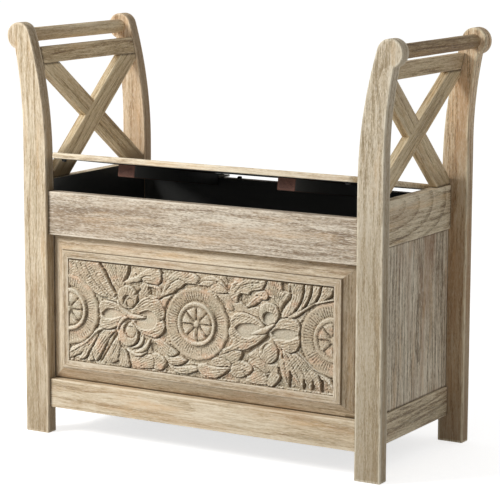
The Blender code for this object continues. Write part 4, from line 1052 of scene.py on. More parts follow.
# thin veins over the large forms
for line in (
        ((-205, 258), (-190, 259), (-172, 252)), ((-204, 222), (-188, 220), (-170, 224), (-158, 232)),
        ((-130, 252), (-116, 264), (-100, 270), (-84, 268)), ((-124, 262), (-108, 274), (-92, 275)),
        ((-84, 212), (-98, 213), (-116, 216)), ((-74, 226), (-82, 218), (-94, 214)),
        ((-73, 248), (-78, 258), (-88, 263)), ((76, 262), (94, 264), (114, 262), (130, 254)),
        ((72, 252), (86, 259), (104, 259)), ((74, 222), (92, 218), (112, 220), (128, 226)),
        ((72, 230), (88, 224), (104, 223)), ((60, 199), (80, 205), (98, 208)),
        ((164, 256), (182, 264), (200, 262)), ((168, 254), (186, 258), (206, 256)),
        ((166, 225), (184, 223), (204, 226)), ((172, 219), (188, 215), (200, 217)),
        ((-34, 330), (-46, 327), (-56, 318), (-64, 306)), ((-8, 327), (-20, 322), (-34, 323)),
        ((4, 318), (18, 325), (34, 326), (50, 320)), ((33, 307), (42, 314), (54, 312)),
        ((76, 312), (88, 326), (104, 331)), ((86, 310), (100, 318), (120, 322)),
        ((92, 308), (112, 314), (132, 320)), ((110, 284), (120, 295), (132, 301)),
        ((200, 292), (204, 310), (206, 334)), ((192, 284), (198, 300), (199, 330)),
        ((214, 296), (224, 314), (226, 334)), ((230, 300), (241, 318), (244, 334)),
        ((250, 308), (262, 322), (268, 334)), ((-178, 206), (-192, 192), (-204, 176), (-213, 158)),
        ((-184, 206), (-200, 190), (-212, 172)), ((-168, 190), (-174, 176), (-184, 160)),
        ((-214, 200), (-228, 184), (-240, 164)), ((-222, 202), (-240, 184), (-262, 164)),
        ((-76, 198), (-62, 192), (-48, 184)), ((-50, 155), (-34, 151), (-16, 152)),
        ((10, 164), (28, 160), (46, 162), (60, 165)), ((8, 158), (26, 153), (44, 154)),
        ((78, 174), (92, 178), (106, 172)), ((80, 164), (94, 168), (108, 165)),
        ((-130, 160), (-112, 165), (-94, 164)), ((-84, 168), (-74, 166), (-68, 160)),
        ((150, 318), (158, 308), (170, 302)), ((156, 330), (166, 318), (180, 314)),
        ((-250, 332), (-243, 314), (-228, 295), (-208, 278)), ((-172, 332), (-170, 314), (-162, 296)),
        ((-186, 334), (-178, 318), (-166, 300)), ((-158, 332), (-158, 316), (-156, 302))):
    relief.groove(line, 1.3, 1.1)

# deep line under the top border, small chips, and the height limits
relief.groove(((-284, 335), (284, 335)), 3.0, 5.0, smooth=False)
relief.groove(((-277, 338), (-277, 142)), 2.4, 3.0, smooth=False)
chatter = np.random.default_rng(CHATTER_SEED).normal(0.0, 1.0, relief.height.shape)
chatter = (chatter + np.roll(chatter, 1, 0) + np.roll(chatter, 1, 1) + np.roll(chatter, (1, 1), (0, 1))) / 4
chatter = chatter * np.where(relief.height < 0.8, 1.0, 0.55) * (1 - 0.85 * relief.smooth)
relief.height = np.clip(relief.height + chatter, LEAST_HEIGHT, MOST_HEIGHT)


def blurred(field, reach):
    """Running mean over a square, twice, for the shade in the cuts."""
    for _ in range(2):
        for axis in (0, 1):
            padded = np.pad(field, [(reach, reach) if a == axis else (0, 0) for a in (0, 1)], mode="edge")
            total = np.cumsum(padded, axis=axis)
            zero = np.zeros_like(np.take(total, [0], axis=axis))
            total = np.concatenate([zero, total], axis=axis)
            size = 2 * reach + 1
            upper = np.take(total, range(size, total.shape[axis]), axis=axis)
            lower = np.take(total, range(0, total.shape[axis] - size), axis=axis)
            field = (upper - lower) / size
    return field


def faced_outwards(mesh, merged=False):
    """Turns the faces of a closed mesh outwards; merged joins the points that coincide first."""
    shape = bmesh.new()
    shape.from_mesh(mesh)
    if merged:
        bmesh.ops.remove_doubles(shape, verts=shape.verts, dist=1e-6)
    bmesh.ops.recalc_face_normals(shape, faces=shape.faces)
    shape.to_mesh(mesh)
    shape.free()


def carved_panel_mesh(name):
    """The carved field as a fine grid, joined to the border, bevels and back of its board."""
    # painted shade and highlight: darker in cuts and on slopes that face the lower right, away from the key
    # lamp, lighter on crests and in spoon cuts
    toward = np.roll(np.roll(relief.height, 1, axis=1), -1, axis=0)
    away = np.roll(np.roll(relief.height, -1, axis=1), 1, axis=0)
    shade = np.clip(0.5 + (blurred(relief.height, 2) - relief.height) * 0.13
                    + (blurred(relief.height, 1) - relief.height) * 0.16 + (toward - away) * 0.15
                    - 0.05 * relief.smooth, 0, 1)
    # painted shadow under the top border and beside the left border of the field
    shade[-3:] = np.maximum(shade[-3:], 0.95)
    shade[:, :2] = np.maximum(shade[:, :2], 0.80)
    x, z = np.meshgrid(relief.x / 1000, relief.z / 1000)
    y = FIELD_FLOOR - RELIEF_GAIN * relief.height / 1000
    points = np.stack([x, y, z], axis=-1).reshape(-1, 3)
    shades = list(shade.ravel())
    index = np.arange(ROWS * COLUMNS).reshape(ROWS, COLUMNS)
    quads = np.stack([index[:-1, :-1], index[:-1, 1:], index[1:, 1:], index[1:, :-1]], axis=-1).reshape(-1, 4)
    rim = np.concatenate([index[0, :-1], index[:-1, -1], index[-1, :0:-1], index[:0:-1, 0]])
    flat = points[rim]
    share = np.stack([flat[:, 0] / FIELD_HALF, (flat[:, 2] - FIELD_MIDDLE) / (FIELD_HIGH - FIELD_MIDDLE)],
                     axis=1)

    def ring(grow_x, grow_z, y_at, shaded=0.5):
        """The rim of the grid grown outwards to another rectangle, and how dark it lies."""
        high = (FIELD_HIGH - FIELD_LOW) / 2
        made = np.stack([share[:, 0] * (FIELD_HALF + grow_x), np.full(len(rim), y_at),
                         FIELD_MIDDLE + share[:, 1] * (high + grow_z)], axis=1)
        return made, shaded

    # growth in x and z, place and shade: edge and face of the border, its outer edge, the step and the bevel
    out_x, out_z = BORDER + END_BEVEL, BORDER + BEVEL
    # painted light in the shade column: the border's inner edge is lighter, and shadow is painted at the step
    # and at the foot of the bevel, where the rails stand over it
    rings = [ring(*row) for row in (
        (0.0, 0.0, FIELD_FACE + 0.0009, 0.6), (0.0004, 0.0004, FIELD_FACE + 0.0003, 0.3),
        (0.0012, 0.0012, FIELD_FACE, 0.25), (0.0035, 0.0035, FIELD_FACE, 0.5),
        (BORDER - 0.0040, BORDER - 0.0040, FIELD_FACE, 0.48),
        (BORDER - 0.0014, BORDER - 0.0014, FIELD_FACE, 0.36),
        (BORDER - 0.0003, BORDER - 0.0003, FIELD_FACE + 0.0003, 0.30),
        (BORDER, BORDER, FIELD_FACE + 0.0010, 0.4), (BORDER, BORDER, FIELD_FACE + STEP, 0.95),
        (BORDER + 0.0032, BORDER + 0.0032, FIELD_FACE + STEP + 0.0017, 0.46),
        (out_x - 0.006, out_z - 0.006, BOARD_FACE - 0.0028, 0.48),
        (out_x - 0.002, out_z - 0.002, BOARD_FACE - 0.0010, 0.62), (out_x, out_z, BOARD_FACE, 0.95))]
    for y_at in (BOARD_FACE, BOARD_BACK):
        made, shaded = ring(BOARD_HALF - FIELD_HALF, 0.0, y_at)
        made[:, 2] = BOARD_LOW + (share[:, 1] + 1) / 2 * (BOARD_HIGH - BOARD_LOW)
        rings.append((made, shaded))
    loop = rim
    stack, faces = [points], [quads]
    total = len(points)
    for made, shaded in rings:
        fresh = np.arange(total, total + len(rim))
        faces.append(np.stack([loop, np.roll(loop, -1), np.roll(fresh, -1), fresh], axis=1)[:, ::-1])
        stack.append(made)
        shades += [shaded] * len(rim)
        loop, total = fresh, total + len(rim)
    mesh = bpy.data.meshes.new(name)
    all_faces = [tuple(int(v) for v in face) for group in faces for face in group]
    all_faces.append(tuple(int(v) for v in loop))
    mesh.from_pydata([tuple(p) for p in np.concatenate(stack)], [], all_faces)
    faced_outwards(mesh)
    # painted shade on the bevel at the right end, which faces away from the key lamp
    shades = np.array(shades) + 0.17 * (np.concatenate(stack)[:, 0] > FIELD_HALF + BORDER + 0.0002)
    mark(mesh, "shade", shades)
    hollows = np.zeros(len(shades))
    hollows[:ROWS * COLUMNS] = (relief.smooth * np.where(relief.x > 0, 1.0, 0.35)).ravel()
    mark(mesh, "hollow", hollows)
    plain = np.arange(len(shades)) >= ROWS * COLUMNS + len(rim)
    mark(mesh, "plain", plain.astype(float))
    mark_grain(mesh, (1, 0, 0), (0, 0, 1), tint=0.5)
    # the border and bevels at both ends show their grain upright
    at_end = np.concatenate([np.zeros(ROWS * COLUMNS, bool)] + [np.abs(share[:, 0]) > 0.999] * len(rings))
    ends = np.flatnonzero(plain & at_end)
    grain = np.empty(len(plain) * 3)
    mesh.attributes["grain"].data.foreach_get("vector", grain)
    grain = grain.reshape(-1, 3)
    grain[ends] = grain[ends][:, (1, 0, 2)] + (0.31, 0.0, 0.0)
    mesh.attributes["grain"].data.foreach_set("vector", grain.ravel())
    return mesh


def carved_wood(name):
    """Limed wood with painted shade in its cuts and on slopes that face the lower right, and painted
    highlights on its crests; its border stays plain.
    """
    w = Finish(name)
    colour, height, streaks = wood_figure(w, (0.32, 0.22, 0.125), (0.62, 0.495, 0.335), (0.86, 0.75, 0.575),
                                          figure=0.95, fleck=0.7, stain=(0.58, 0.38, 0.22), stained=0.5)
    grain = w.attribute("grain", "Vector")
    carved = w.minus(1.0, w.attribute("plain"))
    colour = w.mix(w.times(carved, 0.55), colour, (0.645, 0.53, 0.37))
    hues = w.noise(w.stretched(grain, (26.0, 34.0, 34.0), (7.0, 1.0, 3.0)), detail=2.0)
    colour = w.mix(w.times(carved, w.between(hues, 0.46, 0.32, 0.0, 0.5)), colour, (0.55, 0.50, 0.36))
    colour = w.mix(w.times(carved, w.between(hues, 0.54, 0.68, 0.0, 0.6)), colour, (0.78, 0.51, 0.33))
    chips = w.noise(grain, 340.0, 2.0, 0.75)
    specks = w.noise(w.stretched(grain, (1.0, 1.0, 1.0), (3.0, 8.0, 5.0)), 620.0, 1.0, 0.6)
    colour = w.mix(w.times(w.attribute("hollow"), 0.55), colour, (0.60, 0.55, 0.43))
    rough = w.times(w.minus(0.5, chips), w.times(carved, 0.48))
    shade = w.plus(rough, w.attribute("shade"))
    # painted shade where the shade is high, painted highlight where it is low
    colour = w.mix(w.between(shade, 0.56, 0.92, 0.0, 0.92), colour, (0.14, 0.095, 0.050))
    colour = w.mix(w.between(shade, 0.43, 0.12, 0.0, 0.85), colour, (0.96, 0.88, 0.72))
    colour = w.mix(w.times(carved, w.between(specks, 0.54, 0.68, 0.0, 0.36)), colour, (0.20, 0.14, 0.08))
    colour = w.mix(w.times(carved, w.between(specks, 0.45, 0.32, 0.0, 0.28)), colour, (0.98, 0.90, 0.75))
    height = w.plus(height, w.times(chips, w.times(carved, 1.6)))
    return w.surface(colour, w.between(streaks, 0.3, 0.7, 0.58, 0.74), height, 0.0009, 0.75, **WOOD_SHINE)


carved_panel_wood = carved_wood("limed_carved_wood")
carved_panel = finished("carved_field_panel", carved_panel_mesh("carved_field_panel"), carved_panel_wood)
carved_panel.modifiers.clear()
carved_panel.data.set_sharp_from_angle(angle=math.radians(60))
paint_faces(carved_panel, (0, 1, 0), box_paint)
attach(carved_panel, "bench")
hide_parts("front_carved_panel")


# Rosettes of the carved panel
# Three round flowers cut into the same board: a boss, eight petals, a raised ring and a dished rim of
# fine flutes. The middle one is whole and the outer two are halved by the border of the field.

# radius and height of the turned profile in millimetres
RADIAL_PROFILE = ((0.0, 4.4), (4.5, 3.9), (6.5, 0.3), (9.0, 0.9), (13.0, 2.6), (20.0, 3.6), (26.0, 3.5),
                  (29.5, 2.4), (31.5, 0.6), (33.5, 2.6), (35.5, 3.9), (38.0, 4.2), (40.0, 2.6), (41.5, -1.0),
                  (45.5, 0.5), (54.0, 1.5), (58.5, 1.7), (60.5, 2.3), (62.5, 2.6), (64.5, 2.0), (66.0, 0.5),
                  (68.0, -2.4))
RIM_RADIUS, PROFILE_LOW, PROFILE_SPAN = 68.0, -3.0, 9.0
FLUTES, PETALS, RADIAL_ROWS = 68.0, 8.0, 107
# radii in metres over which each kind of cut fades in or out
PETALS_IN, PETALS_OUT = (0.0065, 0.0085), (0.0325, 0.0305)
FLUTES_IN, FLUTES_OUT = (0.0420, 0.0450), (0.0625, 0.0585)
CHIPS_IN, LOBES_IN = (0.004, 0.009), (0.045, 0.066)
PETAL_GAP, PETAL_GAP_SHARE, PETAL_SLOPE = (0.0004, 0.0034), 0.95, 0.0018
FLUTE_DEPTH, CHIP_DEPTH, ROSETTE_FOOT = 0.0017, 0.0026, -0.0022
HALF_LOBES, LOBE_SHARE = 7.0, 0.022
# the painted shade on slopes that face the lower right, away from the key lamp, is read over this step and
# weighed by this gain
FACING_STEP, SLOPE_SHADE_GAIN = 0.013, 770.0       # how far apart the slope is read, and its weight


class Tree(Wiring):
    """A Geometry Nodes tree with named inputs."""

    def __init__(self, name, inputs):
        super().__init__(bpy.data.node_groups.new(name, "GeometryNodeTree"))
        self.tree.interface.new_socket("Geometry", in_out="OUTPUT", socket_type="NodeSocketGeometry")
        self.sockets = {}
        for label, kind in inputs:
            socket = self.tree.interface.new_socket(label, in_out="INPUT", socket_type="NodeSocket" + kind)
            self.sockets[label] = socket.identifier
        self.inputs = self.tree.nodes.new("NodeGroupInput").outputs

    def close(self, geometry):
        output = self.tree.nodes.new("NodeGroupOutput")
        self.tree.links.new(geometry, output.inputs["Geometry"])

    def made(self, name, values):
        """Runs the tree with these values and returns its result as a plain mesh."""
        holder = added(name, bpy.data.meshes.new(name))
        modifier = holder.modifiers.new("making", "NODES")
        modifier.node_group = self.tree
        for label, value in values.items():
            modifier[self.sockets[label]] = value
        holder.update_tag()
        bpy.context.view_layer.update()
        mesh = evaluated_mesh(holder)
        bpy.data.objects.remove(holder, do_unlink=True)
        mesh.name = name
        faced_outwards(mesh, merged=True)
        return mesh


def rosette_tree():
    """A grid rolled round a centre; its last column folds down to close the cut face of a half rosette."""
    t = Tree("carved_rosette", (("Centre", "Vector"), ("Radius", "Float"), ("Height", "Float"),
                                ("Start", "Float"), ("Sweep", "Float"), ("Flutes", "Float"),
                                ("Petals", "Float"), ("Columns", "Int"), ("Material", "Material")))
    grid = t.add("GeometryNodeMeshGrid", {"Size X": 1.0, "Size Y": 1.0, "Vertices X": t.inputs["Columns"],
                                          "Vertices Y": RADIAL_ROWS})
    place = t.add("ShaderNodeSeparateXYZ", {0: t.add("GeometryNodeInputPosition", {})}).node.outputs
    across = t.plus(place["X"], 0.5)
    along = t.plus(place["Y"], 0.5)
    steps = t.minus(t.inputs["Columns"], 1.0)
    turned = t.math("DIVIDE", t.minus(t.times(across, steps), 1.0), t.minus(steps, 2.0), clamp=True)
    angle = t.times_plus(turned, t.inputs["Sweep"], t.inputs["Start"])
    outwards = t.minus(1.0, t.math("ABSOLUTE", t.times_plus(along, 2.0, -1.0)))
    radius = t.times(outwards, t.inputs["Radius"])
    heights = []
    for shift in (0.0, FACING_STEP, -FACING_STEP):
        curve = t.tree.nodes.new("ShaderNodeFloatCurve")
        points = curve.mapping.curves[0].points
        while len(points) < len(RADIAL_PROFILE):
            points.new(0.5, 0.5)
        curve.mapping.use_clip = False
        for point, (reach, height) in zip(points, RADIAL_PROFILE):
            point.location = (reach / RIM_RADIUS, (height - PROFILE_LOW) / PROFILE_SPAN)
            point.handle_type = "AUTO"
        curve.mapping.update()
        t.put(curve.inputs["Value"], t.plus(outwards, shift))
        heights.append(t.times_plus(curve.outputs[0], PROFILE_SPAN, PROFILE_LOW))
    height = t.times(heights[0], t.inputs["Height"])
    # slopes that face the lower right, away from the key lamp, for the painted shade
    facing = t.times(t.minus(heights[2], heights[1]), t.math("COSINE", t.plus(angle, math.pi / 4)))
    facing = t.times(facing, t.times(t.inputs["Height"], SLOPE_SHADE_GAIN))

    # petals parted by narrow gaps, each sloping to one side
    from_top = t.minus(angle, math.pi / 2)
    half_petals = t.times(t.inputs["Petals"], 0.5)
    gap = t.math("ABSOLUTE", t.math("SINE", t.times(from_top, half_petals)))
    gap = t.math("DIVIDE", t.times(radius, gap), half_petals)
    petal = t.between(gap, *PETAL_GAP)
    zone = t.times(t.between(radius, *PETALS_IN), t.between(radius, *PETALS_OUT))
    lowered = t.times(t.minus(1.0, petal), zone)
    height = t.times(height, t.times_plus(lowered, -PETAL_GAP_SHARE, 1.0))
    per_turn = t.math("DIVIDE", t.inputs["Petals"], 2 * math.pi)
    turn = t.math("FRACT", t.times_plus(from_top, per_turn, 8.0))
    slope = t.times(t.minus(turn, 0.5), zone)
    height = t.times_plus(slope, PETAL_SLOPE, height)

    # flutes on the rim, chips all over and soft lobes of the outline
    cosine, sine = t.math("COSINE", angle), t.math("SINE", angle)
    spot = t.add("ShaderNodeCombineXYZ", {"X": t.times(radius, cosine), "Z": t.times(radius, sine)})
    ridge = t.math("ABSOLUTE", t.math("SINE", t.times(angle, t.times(t.inputs["Flutes"], 0.5))))
    band = t.times(t.between(radius, *FLUTES_IN), t.between(radius, *FLUTES_OUT))
    fresh = t.add("ShaderNodeTexNoise", {"Vector": spot, "Scale": 42.0, "Detail": 2.0})
    flute = t.times(t.minus(ridge, 0.6), t.times(band, t.between(fresh, 0.38, 0.62, 0.25, 1.1)))
    height = t.times_plus(flute, FLUTE_DEPTH, height)
    chips = t.add("ShaderNodeTexNoise", {"Vector": spot, "Scale": 330.0, "Detail": 1.0})
    chips = t.times(t.minus(chips, 0.5), t.between(radius, *CHIPS_IN))
    height = t.times_plus(chips, CHIP_DEPTH, height)
    lobes = t.math("ABSOLUTE", t.math("SINE", t.times(angle, HALF_LOBES)))
    lobes = t.times(lobes, t.between(radius, *LOBES_IN))
    radius = t.times(radius, t.times_plus(lobes, LOBE_SHARE, 1.0 - LOBE_SHARE))

    # the underside, and the cut face of a half rosette
    folded = t.math("MAXIMUM", t.math("LESS_THAN", across, 0.0001), t.math("GREATER_THAN", across, 0.9999))
    folded = t.times(folded, t.math("LESS_THAN", t.inputs["Sweep"], 6.2))
    under = t.times(t.math("GREATER_THAN", along, 0.5001), t.minus(1.0, folded))
    level = t.add("ShaderNodeMix", {"Factor": under, "A": height, "B": ROSETTE_FOOT}, data_type="FLOAT")
    ring = t.add("ShaderNodeCombineXYZ", {"X": t.times(radius, cosine), "Y": t.times(level, -1.0),
                                          "Z": t.times(radius, sine)})
    placed = t.add("ShaderNodeVectorMath", {0: ring, 1: t.inputs["Centre"]}, operation="ADD")

    # painted shade: darker in low places, in the gaps between petals and on slopes that face the lower right;
    # lighter where the surface stands higher
    shade = t.times_plus(t.minus(0.0024, height), 60.0, 0.52)
    shade = t.times_plus(facing, 0.16, shade)
    uneven = t.add("ShaderNodeTexNoise", {"Vector": spot, "Scale": 95.0, "Detail": 1.0})
    shade = t.times_plus(lowered, t.between(uneven, 0.35, 0.65, 0.0, 0.42), shade)
    shade = t.times_plus(slope, -0.30, shade)
    shade = t.times_plus(chips, -1.1, shade)
    shade = t.times_plus(flute, -0.55, shade, clamp=True)

    made = t.add("GeometryNodeStoreNamedAttribute", {"Geometry": grid, "Name": "shade", "Value": shade},
                 data_type="FLOAT", domain="POINT")
    made = t.add("GeometryNodeSetPosition", {"Geometry": made, "Position": placed})
    made = t.add("GeometryNodeMergeByDistance", {"Geometry": made, "Distance": 0.000002})
    made = t.add("GeometryNodeSetShadeSmooth", {"Geometry": made})
    made = t.add("GeometryNodeRealizeInstances", {"Geometry": made})
    made = t.add("GeometryNodeSetMaterial", {"Geometry": made, "Material": t.inputs["Material"]})
    t.close(made)
    return t


rosettes = rosette_tree()
for name, x, start, sweep, columns, height in (("middle", 0.0, 0.0, 2 * math.pi, 361, 0.0013),
                                               ("left", -FIELD_HALF, -math.pi / 2, math.pi, 183, 0.0013),
                                               ("right", FIELD_HALF, math.pi / 2, math.pi, 183, 0.0008)):
    mesh = rosettes.made("carved_rosette_" + name, {
        "Centre": (x, FIELD_FLOOR, FIELD_MIDDLE + 0.001), "Radius": RIM_RADIUS / 1000, "Height": height,
        "Start": start, "Sweep": sweep, "Flutes": FLUTES, "Petals": PETALS, "Columns": columns,
        "Material": carved_panel_wood})
    mark_grain(mesh, (1, 0, 0), (0, 0, 1), tint=0.5)
    rosette = added("carved_rosette_" + name, mesh)
    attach(rosette, "bench")


# Back panel
# A thin plain board that closes the back of the box, fixed to the inner faces of the back rails.
# Its outside is limed, its inside painted black.

BACK_FACE, BACK_THICKNESS, BACK_EDGE = 0.1527, 0.006, 0.0005

back_wood = limed_wood("limed_back_wood", (0.32, 0.25, 0.17), (0.52, 0.43, 0.32), (0.72, 0.63, 0.50))
back_panel = eased_board("limed_back_panel", rectangle(-BOARD_HALF, BOARD_HALF, BOARD_LOW, BOARD_HIGH),
                         BACK_THICKNESS, lambda a, b, d: (a, BACK_FACE - d, b), BACK_EDGE,
                         (1, 0, 0), (0, 0, 1), back_wood)
paint_faces(back_panel, (0, -1, 0), box_paint)
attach(back_panel, "bench")
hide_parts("back_panel")


# Floor of the box
# A thin board painted black that lies loose on four cleats, which are glued round the inside
# of the frame and left as sawn wood.

CLEAT_LOW, CLEAT_HIGH, CLEAT_EDGE = 0.055, 0.073, 0.0009
CLEAT_FRONT, CLEAT_SIDE, SIDE_CLEAT_END = 0.1347, 0.3032, 0.1344


def repaint(node, material):
    """Lays a finish on a CAD piece that shows as it is."""
    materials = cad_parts[node].data.materials
    materials.clear()
    materials.append(material)


floor_paint = black_paint("floor_black_paint")
repaint("floor_panel", floor_paint)
cleat_wood = limed_wood("sawn_cleat_wood", (0.30, 0.23, 0.15), (0.48, 0.39, 0.28), (0.66, 0.56, 0.43))

for name, outline, along in (
        ("floor_cleat_front", rectangle(-BOARD_HALF, BOARD_HALF, BOARD_FACE, -CLEAT_FRONT), (1, 0, 0)),
        ("floor_cleat_rear", rectangle(-BOARD_HALF, BOARD_HALF, CLEAT_FRONT, -BOARD_FACE), (1, 0, 0)),
        ("floor_cleat_left", rectangle(-BOARD_HALF, -CLEAT_SIDE, -SIDE_CLEAT_END, SIDE_CLEAT_END), (0, 1, 0)),
        ("floor_cleat_right", rectangle(CLEAT_SIDE, BOARD_HALF, -SIDE_CLEAT_END, SIDE_CLEAT_END), (0, 1, 0))):
    cleat = eased_board("sawn_" + name, outline, CLEAT_HIGH - CLEAT_LOW,
                        lambda a, b, d: (a, b, CLEAT_LOW + d), CLEAT_EDGE, along, (0, 0, 1), cleat_wood)
    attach(cleat, "bench")
    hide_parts(name)


# Lid
# One board with its grain along the bench, limed on top and painted black below, with rounded
# front corners and soft edges, and two battens screwed under it. It stands ajar, turned 9.3
# degrees about its hinge pins at the back.

HINGE_Y, HINGE_Z, LID_ANGLE = 0.1745, 0.4575, math.radians(9.3)
LID_HALF, LID_FRONT, LID_BACK, LID_LOW, LID_THICKNESS = 0.3115, -0.182, 0.171, 0.460, 0.011
LID_EDGE, LID_CORNER = 0.0028, 0.010
BATTEN_SPREAD, BATTEN_HALF_WIDTH, BATTEN_HALF_LENGTH = 0.166, 0.018, 0.148
BATTEN_THICKNESS, BATTEN_EDGE = 0.023, 0.002
LID_TURN = (Matrix.Translation((0, HINGE_Y, HINGE_Z)) @ Matrix.Rotation(-LID_ANGLE, 4, "X")
            @ Matrix.Translation((0, -HINGE_Y, -HINGE_Z)))

lid_wood = limed_wood("limed_lid_wood", (0.40, 0.28, 0.16), (0.74, 0.60, 0.41), (0.92, 0.80, 0.62), fleck=0.7)
batten_brown = limed_wood("bare_batten_wood", (0.045, 0.018, 0.012), (0.10, 0.043, 0.03), (0.17, 0.08, 0.055),
                          figure=0.7, lime=0.05, fleck=0.5, stain=(0.14, 0.05, 0.03))


def rounded_lid_outline(radius):
    """The lid from above, with its two front corners rounded."""
    inner, turned = LID_HALF - radius, LID_FRONT + radius
    front = [(-LID_HALF, turned)] + arc((-inner, turned), radius, math.pi, 1.5 * math.pi, steps=7)
    front += [(inner, LID_FRONT)] + arc((inner, turned), radius, -0.5 * math.pi, 0.0, steps=7)
    return [(-LID_HALF, LID_BACK, True)] + [(x, y, False) for x, y in front] + [(LID_HALF, LID_BACK, True)]


lid_board = eased_board("limed_lid_board", rounded_lid_outline(LID_CORNER), LID_THICKNESS,
                        lambda a, b, d: (a, b, LID_LOW + d), LID_EDGE, (1, 0, 0), (0, 1, 0), lid_wood,
                        tint=0.55)
paint_faces(lid_board, (0, 0, -1), box_paint)
lid_board.data.transform(LID_TURN)
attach(lid_board, "lid")
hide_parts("lid_board")

for side_name, side in SIDES:
    middle = side * BATTEN_SPREAD
    batten = eased_board("stained_lid_batten_" + side_name,
                         rectangle(middle - BATTEN_HALF_WIDTH, middle + BATTEN_HALF_WIDTH,
                                   -BATTEN_HALF_LENGTH, BATTEN_HALF_LENGTH), BATTEN_THICKNESS,
                         lambda a, b, d: (a, b, LID_LOW - JOINT_GAP - d), BATTEN_EDGE, (0, 1, 0), (1, 0, 0),
                         batten_brown)
    for direction in ((1, 0, 0), (-1, 0, 0), (0, 0, -1)):
        paint_faces(batten, direction, box_paint)
    batten.data.transform(LID_TURN)
    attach(batten, "lid")
    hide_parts("lid_batten_" + side_name)


# Hinges
# Two small butt hinges of pressed steel, each with two leaves and five knuckles on one pin.
# The steel is dull and lightly spotted where it was handled.

def dull_steel(name, tone):
    """Bare steel, finely brushed and spotted."""
    w = Finish(name)
    place = w.add("ShaderNodeTexCoord", {}, "Object")
    spots = w.noise(place, 900.0, 3.0, 0.6)
    brush = w.noise(w.stretched(place, (120.0, 2500.0, 2500.0)), detail=2.0)
    colour = w.ramp(spots, ((0.35, toned(tone, 0.7)), (0.65, tone)))
    return w.surface(colour, w.between(brush, 0.3, 0.7, 0.28, 0.48), w.plus(spots, brush), 0.0001, 0.4,
                     Metallic=1.0)


hinge_steel = dull_steel("hinge_pressed_steel", (0.46, 0.44, 0.40))
pin_steel = dull_steel("hinge_pin_steel", (0.38, 0.37, 0.35))
for side_name, side in SIDES:
    for name, steel in (("hinge_fixed_leaf_", hinge_steel), ("hinge_lid_leaf_", hinge_steel),
                        ("hinge_pin_", pin_steel)):
        repaint(name + side_name, steel)


# Screws
# Small countersunk steel screws with crossed slots: two in each hinge leaf and two longer ones up
# through each batten into the lid.

HINGE_SPREAD, LEAF_SCREW_OFFSET, HINGE_SCREW_Y, BATTEN_SCREW_Y = 0.166, 0.015, 0.162, 0.115
LEAF_HEAD, BATTEN_HEAD, SHANK, HEAD_HEIGHT = 0.0028, 0.0038, 0.0013, 0.0014
LEAF_SCREW_LENGTH, BATTEN_SCREW_LENGTH = 0.006, 0.024
FIXED_LEAF_TOP, LID_LEAF_UNDER, BATTEN_UNDER = 0.4569, 0.4581, 0.4367
LEAF_SCREW_X = [side * HINGE_SPREAD + offset
                for side in (-1, 1) for offset in (-LEAF_SCREW_OFFSET, LEAF_SCREW_OFFSET)]
BATTEN_SCREWS = [(side * BATTEN_SPREAD, y, BATTEN_UNDER)
                 for side in (-1, 1) for y in (-BATTEN_SCREW_Y, BATTEN_SCREW_Y)]


def screw_tree():
    """One screw, set on a small mesh of points with their heads turned by chance."""
    t = Tree("countersunk_screws", (("Places", "Object"), ("Head Radius", "Float"), ("Shank Radius", "Float"),
                                    ("Head Height", "Float"), ("Length", "Float"), ("Facing", "Vector"),
                                    ("Seed", "Int"), ("Material", "Material")))
    # places along the cylinder are shares of the screw: cone of the head, shank, then point
    head = t.add("GeometryNodeMeshCylinder", {"Vertices": 28, "Side Segments": 3, "Fill Segments": 6,
                                              "Radius": 1.0, "Depth": 1.0}, fill_type="TRIANGLE_FAN")
    place = t.add("ShaderNodeSeparateXYZ", {0: t.add("GeometryNodeInputPosition", {})}).node.outputs
    reach = t.math("SQRT", t.plus(t.times(place["X"], place["X"]), t.times(place["Y"], place["Y"])))
    top = t.math("GREATER_THAN", place["Z"], 0.49)
    deep = t.minus(0.5, place["Z"])
    cone = t.between(deep, 0.0, 0.36, 1.0, 0.0)
    wide = t.add("ShaderNodeMix", {"Factor": cone, "A": t.inputs["Shank Radius"],
                                   "B": t.inputs["Head Radius"]}, data_type="FLOAT")
    point = t.between(deep, 0.70, 1.0, 1.0, 0.35)
    wide = t.times(wide, point)
    head_part = t.times(t.between(deep, 0.0, 0.34), t.inputs["Head Height"])
    shank_part = t.times(t.between(deep, 0.34, 1.0), t.inputs["Length"])
    depth = t.plus(head_part, shank_part)

    # crossed slots, sunk by half the height of the head
    slot = t.math("MINIMUM", t.math("ABSOLUTE", place["X"]), t.math("ABSOLUTE", place["Y"]))
    cross = t.times(t.between(slot, 0.16, 0.07), t.between(reach, 0.72, 0.55))
    sunk = t.times(t.times(cross, top), t.times(t.inputs["Head Height"], 0.5))
    level = t.times(t.plus(depth, sunk), -1.0)
    shaped = t.add("ShaderNodeCombineXYZ", {"X": t.times(place["X"], wide), "Y": t.times(place["Y"], wide),
                                            "Z": level})
    screw = t.add("GeometryNodeSetPosition", {"Geometry": head, "Position": shaped})

    # one at each point, turned about its own axis
    holes = t.add("GeometryNodeObjectInfo", {"Object": t.inputs["Places"]}).node.outputs["Geometry"]
    facing = t.add("FunctionNodeAlignRotationToVector", {"Vector": t.inputs["Facing"]}, axis="Z")
    turned = t.add("FunctionNodeRandomValue", {2: 0.0, 3: 3.1, "Seed": t.inputs["Seed"]}, 1,
                   data_type="FLOAT")
    spin = t.add("FunctionNodeAxisAngleToRotation", {"Axis": (0.0, 0.0, 1.0), "Angle": turned})
    rotation = t.add("FunctionNodeRotateRotation", {"Rotation": facing, "Rotate By": spin},
                     rotation_space="LOCAL")
    made = t.add("GeometryNodeInstanceOnPoints", {"Points": holes, "Instance": screw, "Rotation": rotation})
    made = t.add("GeometryNodeRealizeInstances", {"Geometry": made})
    made = t.add("GeometryNodeSetMaterial", {"Geometry": made, "Material": t.inputs["Material"]})
    t.close(made)
    return t


